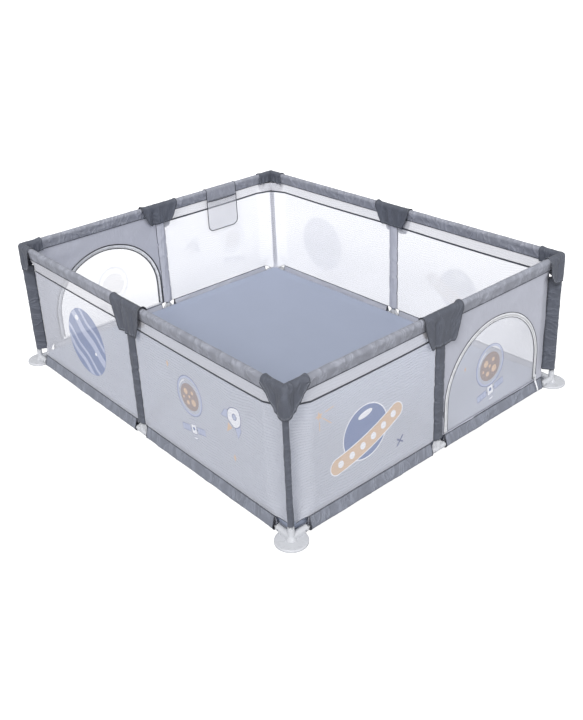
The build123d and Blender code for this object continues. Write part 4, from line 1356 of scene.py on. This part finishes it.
def make_prints():
    front, right, back, left = (WALLS[name] for name in ("front", "right", "back", "left"))
    print_motif("print_front_planet", front, ringed_planet(-0.424, 0.289))
    print_motif("print_front_comet", front, comet(-0.660, 0.470))
    print_motif("print_front_mark", front, cross_mark(-0.232, 0.169, 0.016))
    print_motif("print_left_planet", left, banded_planet(-0.425, 0.315, 0.168))
    print_motif("print_left_moon", left, moon(0.405, 0.372, 0.084) + satellite(0.415, 0.222, 0.088))
    print_motif("print_left_rocket", left, rocket(0.690, 0.392, 0.150, -0.55))
    print_motif("print_left_stars", left, diamond(0.265, 0.467, 0.017) + diamond(0.684, 0.217, 0.017))
    print_motif("print_right_planet", right, banded_planet(0.560, 0.300, 0.160))
    print_motif("print_right_ringed", right, ringed_planet(-0.430, 0.290))
    print_motif("print_back_moon", back, moon(-0.498, 0.318, 0.082) + satellite(-0.498, 0.180, 0.086))
    print_motif("print_back_rocket", back, rocket(-0.213, 0.352, 0.125, 0.5))
    for wall in (front, back):
        name = f"print_door_{wall.name}"
        parts = moon(0.335, 0.285, 0.094) + satellite(0.345, 0.160, 0.098) + diamond(0.165, 0.330, 0.012)
        print_motif(name, wall, parts, f"door_{wall.name}", "door_mesh")


# ---------------------------------------------------------------- floor mat
def mat_mesh(rounding):
    """A thin box of even quads with rounded edges and corners."""
    low, high = MAT_LOW, MAT_HIGH
    inset = Vector((rounding, rounding))
    near, far = low.xy + inset, high.xy - inset
    xs = steps(near.x, far.x, 0.026)
    ys = steps(near.y, far.y, 0.026)
    work = bmesh.new()
    loops = []
    ring = [(x, ys[0]) for x in xs[:-1]] + [(xs[-1], y) for y in ys[:-1]]
    ring += [(x, ys[-1]) for x in xs[:0:-1]] + [(xs[0], y) for y in ys[:0:-1]]
    middle_z, depth = (low.z + high.z) / 2, (high.z - low.z) / 2
    for turn in steps(math.pi / 2, -math.pi / 2, math.pi / 6):
        reach, z = rounding * math.cos(turn), middle_z + depth * math.sin(turn)
        row = []
        for x, y in ring:
            out = Vector(((x >= xs[-1]) - (x <= xs[0]), (y >= ys[-1]) - (y <= ys[0]))).normalized() * reach
            row.append(work.verts.new((x + out.x, y + out.y, z)))
        loops.append(row)
    for upper, lower in zip(loops, loops[1:]):
        for k in range(len(ring)):
            after = (k + 1) % len(ring)
            work.faces.new((upper[k], lower[k], lower[after], upper[after]))
    for loop, z, flip in ((loops[0], high.z, False), (loops[-1], low.z, True)):
        placed = {(round(v[0], 6), round(v[1], 6)): vert for v, vert in zip(ring, loop)}
        grid = [[placed.get((round(x, 6), round(y, 6))) or work.verts.new((x, y, z)) for y in ys] for x in xs]
        for i in range(len(xs) - 1):
            for j in range(len(ys) - 1):
                quad = (grid[i][j], grid[i + 1][j], grid[i + 1][j + 1], grid[i][j + 1])
                work.faces.new(quad[::-1] if flip else quad)
    mesh = bpy.data.meshes.new("mat_casing")
    work.to_mesh(mesh)
    work.free()
    return mesh


def puff(obj, pressure, cap, frames=20):
    """Fills a closed cloth shape by simulation, and keeps each point within cap of where it was."""
    rest = [vert.co.copy() for vert in obj.data.vertices]
    cloth = obj.modifiers.new("Padding", "CLOTH")
    cloth.settings.use_pressure = True
    cloth.settings.uniform_pressure_force = pressure
    cloth.settings.effector_weights.gravity = 0.0
    cloth.settings.quality = 3
    cloth.settings.mass = 0.3
    cloth.settings.tension_stiffness = cloth.settings.compression_stiffness = 12.0
    cloth.settings.bending_stiffness = 0.3
    scene = bpy.context.scene
    for frame_number in range(1, frames + 1):
        scene.frame_set(frame_number)
    shaped = obj.evaluated_get(bpy.context.evaluated_depsgraph_get())
    moved = [vert.co.copy() for vert in shaped.data.vertices]
    obj.modifiers.remove(cloth)
    scene.frame_set(1)
    for vert, before, after in zip(obj.data.vertices, rest, moved):
        step = after - before
        vert.co = before + step * min(1.0, cap / max(step.length, 1e-9))


def make_floor_mat(sizes):
    obj = new_object("mat_casing", mat_mesh(sizes.mat_rounding), finish("Mat cloth"))
    puff(obj, 1.2, 0.004)
    for vert in obj.data.vertices:
        x, y, z = vert.co
        up = clamp((z - MAT_LOW.z) / (MAT_HIGH.z - MAT_LOW.z))
        inset = min(MAT_HIGH.x - abs(x), MAT_HIGH.y - abs(y))
        at_edge = ease((0.075 - inset) / 0.075)
        vert.co.z += up * (0.002 + 0.012 * at_edge + 0.0030 * soft(x * 2.2, y * 2.2, 5.0))
        vert.co.z += up * 0.0026 * (fold(x * 3 + y * 1.5, y * 2.5 - x, 2.0) - 0.3) * (0.4 + 0.6 * at_edge)
        out = 0.013 * ease((up - 0.75) / 0.25) * ease((0.012 - inset) / 0.012)
        vert.co.x += math.copysign(out, x) if MAT_HIGH.x - abs(x) < 0.02 else 0.0
        vert.co.y += math.copysign(out, y) if MAT_HIGH.y - abs(y) < 0.02 else 0.0
    finer = obj.modifiers.new("Smooth", "SUBSURF")
    finer.levels = finer.render_levels = 1
    with bpy.context.temp_override(object=obj, active_object=obj):
        bpy.ops.object.modifier_apply(modifier=finer.name)
    for vert in obj.data.vertices:
        vert.co.z = max(vert.co.z, MAT_LOW.z)
    settle(obj, "root", "mat_cloth", "floor_mat")
    ring = []
    reach_x, reach_y, round_by = MAT_HIGH.x - 0.001, MAT_HIGH.y - 0.001, sizes.mat_rounding
    middle_z = (MAT_LOW.z + MAT_HIGH.z) / 2
    for turn in steps(0, 2 * math.pi, math.pi / 16)[:-1]:
        x, y = math.cos(turn), math.sin(turn)
        ring.append(Vector((math.copysign(reach_x - round_by, x) + round_by * x,
                            math.copysign(reach_y - round_by, y) + round_by * y, middle_z)))
    ring.append(ring[0].copy())
    piping = cord_piece("mat_piping", ring, 0.0022, finish("Pocket cloth"))
    settle(piping, "root", "mat_cloth")


# ---------------------------------------------------------------- hanging pocket
def make_pocket(sizes):
    wall = WALLS["back"]
    centre, half, low, mouth, corner = -0.425, 0.105, 0.410, 0.590, 0.035
    strap_low = 0.626
    radius = sizes.cover_radius + 0.0004
    rows = []
    for s in steps(centre - half, centre + half, 0.006):
        row = [wall.at(s, radius + 0.0006 * soft(s * 40, z * 30, 3.0), z)
               for z in steps(strap_low, RAIL_Z, 0.005)[:-1]]
        for angle in steps(0, math.pi, math.pi / 12):
            size = radius + 0.0007 * soft(s * 30, angle, 6.0)
            row.append(wall.at(s, size * math.cos(angle), RAIL_Z + size * math.sin(angle)))
        row += [wall.at(s, -radius - 0.001 * soft(s * 30, z * 20, 9.0), z)
                for z in steps(RAIL_Z, mouth, 0.006)[1:]]
        rows.append(row)
    strap = grid_piece("pocket_strap", rows, finish("Pocket cloth"), thickness=sizes.cloth)
    settle(strap, "root", "pocket_mesh", "storage_pocket")
    lay_sheet(strap, "draped", "top_rails_back")
    edge = [(centre - half, mouth)]
    for side, start, end in ((-1, 1.0, 1.5), (1, 1.5, 2.0)):
        edge += [(centre + side * (half - corner) + corner * math.cos(a), low + corner + corner * math.sin(a))
                 for a in steps(start * math.pi, end * math.pi, math.pi / 16)]
    edge.append((centre + half, mouth))
    rim = [(s, mouth) for s in steps(centre + half, centre - half, 0.012)[1:-1]]

    def pouch(s, z):
        across = 1 - abs((s - centre) / half) ** 2.5
        down = ease((z - low) / 0.09)
        return wall.at(s, -radius - 0.0005 - 0.0095 * across * down, z)

    def backing(s, z):
        return wall.at(s, -radius + 0.0004, z)

    for name, place in (("pocket_front", pouch), ("pocket_back", backing)):
        panel = new_object(name, filled_mesh(name, [edge + rim], 0.010, place), finish("Pocket net"))
        settle(panel, "root", "pocket_mesh", "storage_pocket")
        lay_sheet(panel, "hung", "pocket_strap")
    trims = [cord_piece("bound edge", [wall.at(s, -radius - 0.0005, z) for s, z in edge], 0.0026,
                        finish("Binding"), flat=0.7, up=wall.outward)]
    line = [pouch(s, mouth) for s in steps(centre - half, centre + half, 0.01)]
    trims.append(cord_piece("mouth", line, 0.0026, finish("Binding"), flat=0.6, up=wall.outward))
    for s in (centre - half + 0.001, centre + half - 0.001):
        over = [wall.at(s, (radius + 0.001) * math.cos(a), RAIL_Z + (radius + 0.001) * math.sin(a))
                for a in steps(0, math.pi, math.pi / 12)]
        over = [wall.at(s, radius + 0.001, strap_low)] + over + [wall.at(s, -radius - 0.001, mouth)]
        trims.append(cord_piece("side", over, 0.0014, finish("Binding"), sides=6))
    settle(join("pocket_binding", trims), "root", "pocket_mesh")


# ---------------------------------------------------------------- stage
def make_stage():
    reach = 40.0
    mesh = bpy.data.meshes.new("studio_floor")
    mesh.from_pydata([(-reach, -reach, 0), (reach, -reach, 0), (reach, reach, 0), (-reach, reach, 0)], [],
                     [(0, 1, 2, 3)])
    tree, shader = start_material("Studio floor", Roughness=0.9, Base_Color=(0.52, 0.52, 0.53, 1),
                                  Emission_Color=(1, 1, 1, 1))
    seen = node(tree, "LightPath").outputs["Is Camera Ray"]
    tree.links.new(sums(tree, "MULTIPLY", seen, 0.78), shader.inputs["Emission Strength"])
    new_object("studio_floor", mesh, finish("Studio floor"))

    world = bpy.data.worlds.new("Studio")
    bpy.context.scene.world = world
    world.use_nodes = True
    background = world.node_tree.nodes["Background"]
    background.inputs["Color"].default_value = (0.98, 0.99, 1.0, 1)
    seen = node(world.node_tree, "LightPath").outputs["Is Camera Ray"]
    strength = sums(world.node_tree, "MULTIPLY_ADD", seen, 0.5, 0.6)
    world.node_tree.links.new(strength, background.inputs["Strength"])
    for name, energy, spread, azimuth, elevation in (("key", 2.1, 20, -62, 42), ("fill", 1.15, 45, -10, 30)):
        light = bpy.data.lights.new(name, "SUN")
        light.energy, light.angle = energy, math.radians(spread)
        lamp = bpy.data.objects.new(name, light)
        lamp.rotation_euler = (math.radians(90 - elevation), 0, math.radians(azimuth))
        bpy.context.scene.collection.objects.link(lamp)
    bpy.context.scene.view_settings.view_transform = "Standard"
    aim_camera()


def aim_camera():
    """A camera at standing height, off the front left corner, rolled a little."""
    azimuth, elevation, roll = (math.radians(a) for a in (-38.41, 23.54, -3.48))
    target, distance, lens = Vector((0.184, 0.366, 0.30)), 4.706, 44.65
    back = Vector((math.sin(azimuth) * math.cos(elevation), -math.cos(azimuth) * math.cos(elevation),
                   math.sin(elevation)))
    right = Vector((math.cos(azimuth), math.sin(azimuth), 0))
    up = back.cross(right)
    turned_right = right * math.cos(roll) + up * math.sin(roll)
    turned_up = up * math.cos(roll) - right * math.sin(roll)
    data = bpy.data.cameras.new("view")
    data.lens, data.sensor_width, data.clip_end = lens, 36.0, 200.0
    data.shift_x, data.shift_y = 0.044, -0.104
    camera = bpy.data.objects.new("view", data)
    place = Matrix((turned_right, turned_up, back)).transposed().to_4x4()
    place.translation = target + back * distance
    camera.matrix_world = place
    bpy.context.scene.collection.objects.link(camera)
    bpy.context.scene.camera = camera


# ---------------------------------------------------------------- operators, panel and registration
class PLAYPEN_OT_finishes(bpy.types.Operator):
    """Make every material and give the tubes, connectors, feet, screws and zip sliders theirs"""
    bl_idname = "playpen.finishes"
    bl_label = "Materials and Frame Finishes"

    def execute(self, context):
        make_materials(context.scene.playpen_colours)
        finish_frame()
        return {"FINISHED"}


class PLAYPEN_OT_rail_sleeves(bpy.types.Operator):
    """Sew the wrinkled sleeves over the top rails"""
    bl_idname = "playpen.rail_sleeves"
    bl_label = "Rail Sleeves"

    def execute(self, context):
        make_rail_sleeves(context.scene.playpen_sizes)
        return {"FINISHED"}


class PLAYPEN_OT_hems(bpy.types.Operator):
    """Sew the hems round the bottom rails"""
    bl_idname = "playpen.hems"
    bl_label = "Bottom Hems"

    def execute(self, context):
        make_hems(context.scene.playpen_sizes)
        return {"FINISHED"}


class PLAYPEN_OT_post_sleeves(bpy.types.Operator):
    """Sew the sleeves round the corner posts and the mid posts"""
    bl_idname = "playpen.post_sleeves"
    bl_label = "Post Sleeves"

    def execute(self, context):
        make_corner_sleeves(context.scene.playpen_sizes)
        make_mid_sleeves(context.scene.playpen_sizes)
        return {"FINISHED"}


class PLAYPEN_OT_covers(bpy.types.Operator):
    """Fit the stitched covers over the top corners and over the middles of the top rails"""
    bl_idname = "playpen.covers"
    bl_label = "Corner and Mid Covers"

    def execute(self, context):
        make_corner_covers(context.scene.playpen_sizes)
        make_mid_covers(context.scene.playpen_sizes)
        return {"FINISHED"}


class PLAYPEN_OT_mesh_walls(bpy.types.Operator):
    """Stretch the mesh walls with their bands and bindings"""
    bl_idname = "playpen.mesh_walls"
    bl_label = "Mesh Walls"

    def execute(self, context):
        make_mesh_walls(context.scene.playpen_sizes)
        return {"FINISHED"}


class PLAYPEN_OT_doors(bpy.types.Operator):
    """Make the cloth round the doors and the net door flaps"""
    bl_idname = "playpen.doors"
    bl_label = "Doors"

    def execute(self, context):
        make_door_surrounds(context.scene.playpen_sizes)
        make_door_flaps()
        return {"FINISHED"}


class PLAYPEN_OT_zips(bpy.types.Operator):
    """Sew the zips round the doors"""
    bl_idname = "playpen.zips"
    bl_label = "Zips"

    def execute(self, context):
        make_zips(context.scene.playpen_sizes)
        return {"FINISHED"}


class PLAYPEN_OT_prints(bpy.types.Operator):
    """Print the planets, moons, rockets and stars on the net"""
    bl_idname = "playpen.prints"
    bl_label = "Prints"

    def execute(self, context):
        make_prints()
        return {"FINISHED"}


class PLAYPEN_OT_floor_mat(bpy.types.Operator):
    """Fill the padded floor mat"""
    bl_idname = "playpen.floor_mat"
    bl_label = "Floor Mat"

    def execute(self, context):
        make_floor_mat(context.scene.playpen_sizes)
        return {"FINISHED"}


class PLAYPEN_OT_pocket(bpy.types.Operator):
    """Hang the net pocket inside the back wall"""
    bl_idname = "playpen.pocket"
    bl_label = "Hanging Pocket"

    def execute(self, context):
        make_pocket(context.scene.playpen_sizes)
        return {"FINISHED"}


class PLAYPEN_OT_stage(bpy.types.Operator):
    """Set the pale floor, the soft lights and the camera"""
    bl_idname = "playpen.stage"
    bl_label = "Stage"

    def execute(self, context):
        make_stage()
        return {"FINISHED"}


STEPS = (PLAYPEN_OT_finishes, PLAYPEN_OT_rail_sleeves, PLAYPEN_OT_hems, PLAYPEN_OT_post_sleeves,
         PLAYPEN_OT_covers, PLAYPEN_OT_mesh_walls, PLAYPEN_OT_doors, PLAYPEN_OT_zips, PLAYPEN_OT_prints,
         PLAYPEN_OT_floor_mat, PLAYPEN_OT_pocket, PLAYPEN_OT_stage)


class PLAYPEN_PT_panel(bpy.types.Panel):
    """Lists the steps in order, with the sizes and colours that they use"""
    bl_idname = "PLAYPEN_PT_panel"
    bl_label = "Playpen"
    bl_space_type = "VIEW_3D"
    bl_region_type = "UI"
    bl_category = "Playpen"

    def draw(self, context):
        for step in STEPS:
            self.layout.operator(step.bl_idname)
        scene = context.scene
        for title, group in (("Sizes", scene.playpen_sizes), ("Colours", scene.playpen_colours)):
            box = self.layout.box()
            box.label(text=title)
            for key in group.bl_rna.properties.keys():
                if key not in ("name", "rna_type"):
                    box.prop(group, key)


CLASSES = (PlaypenSizes, PlaypenColours) + STEPS + (PLAYPEN_PT_panel,)


def register():
    for one in CLASSES:
        bpy.utils.register_class(one)
    bpy.types.Scene.playpen_sizes = bpy.props.PointerProperty(type=PlaypenSizes)
    bpy.types.Scene.playpen_colours = bpy.props.PointerProperty(type=PlaypenColours)


def unregister():
    del bpy.types.Scene.playpen_colours
    del bpy.types.Scene.playpen_sizes
    for one in reversed(CLASSES):
        bpy.utils.unregister_class(one)


def main():
    register()
    for step in STEPS:
        name = step.bl_idname.split(".")[1]
        if getattr(bpy.ops.playpen, name)() != {"FINISHED"}:
            raise RuntimeError(f"{step.bl_label} did not finish")


if __name__ == "__main__":
    main()
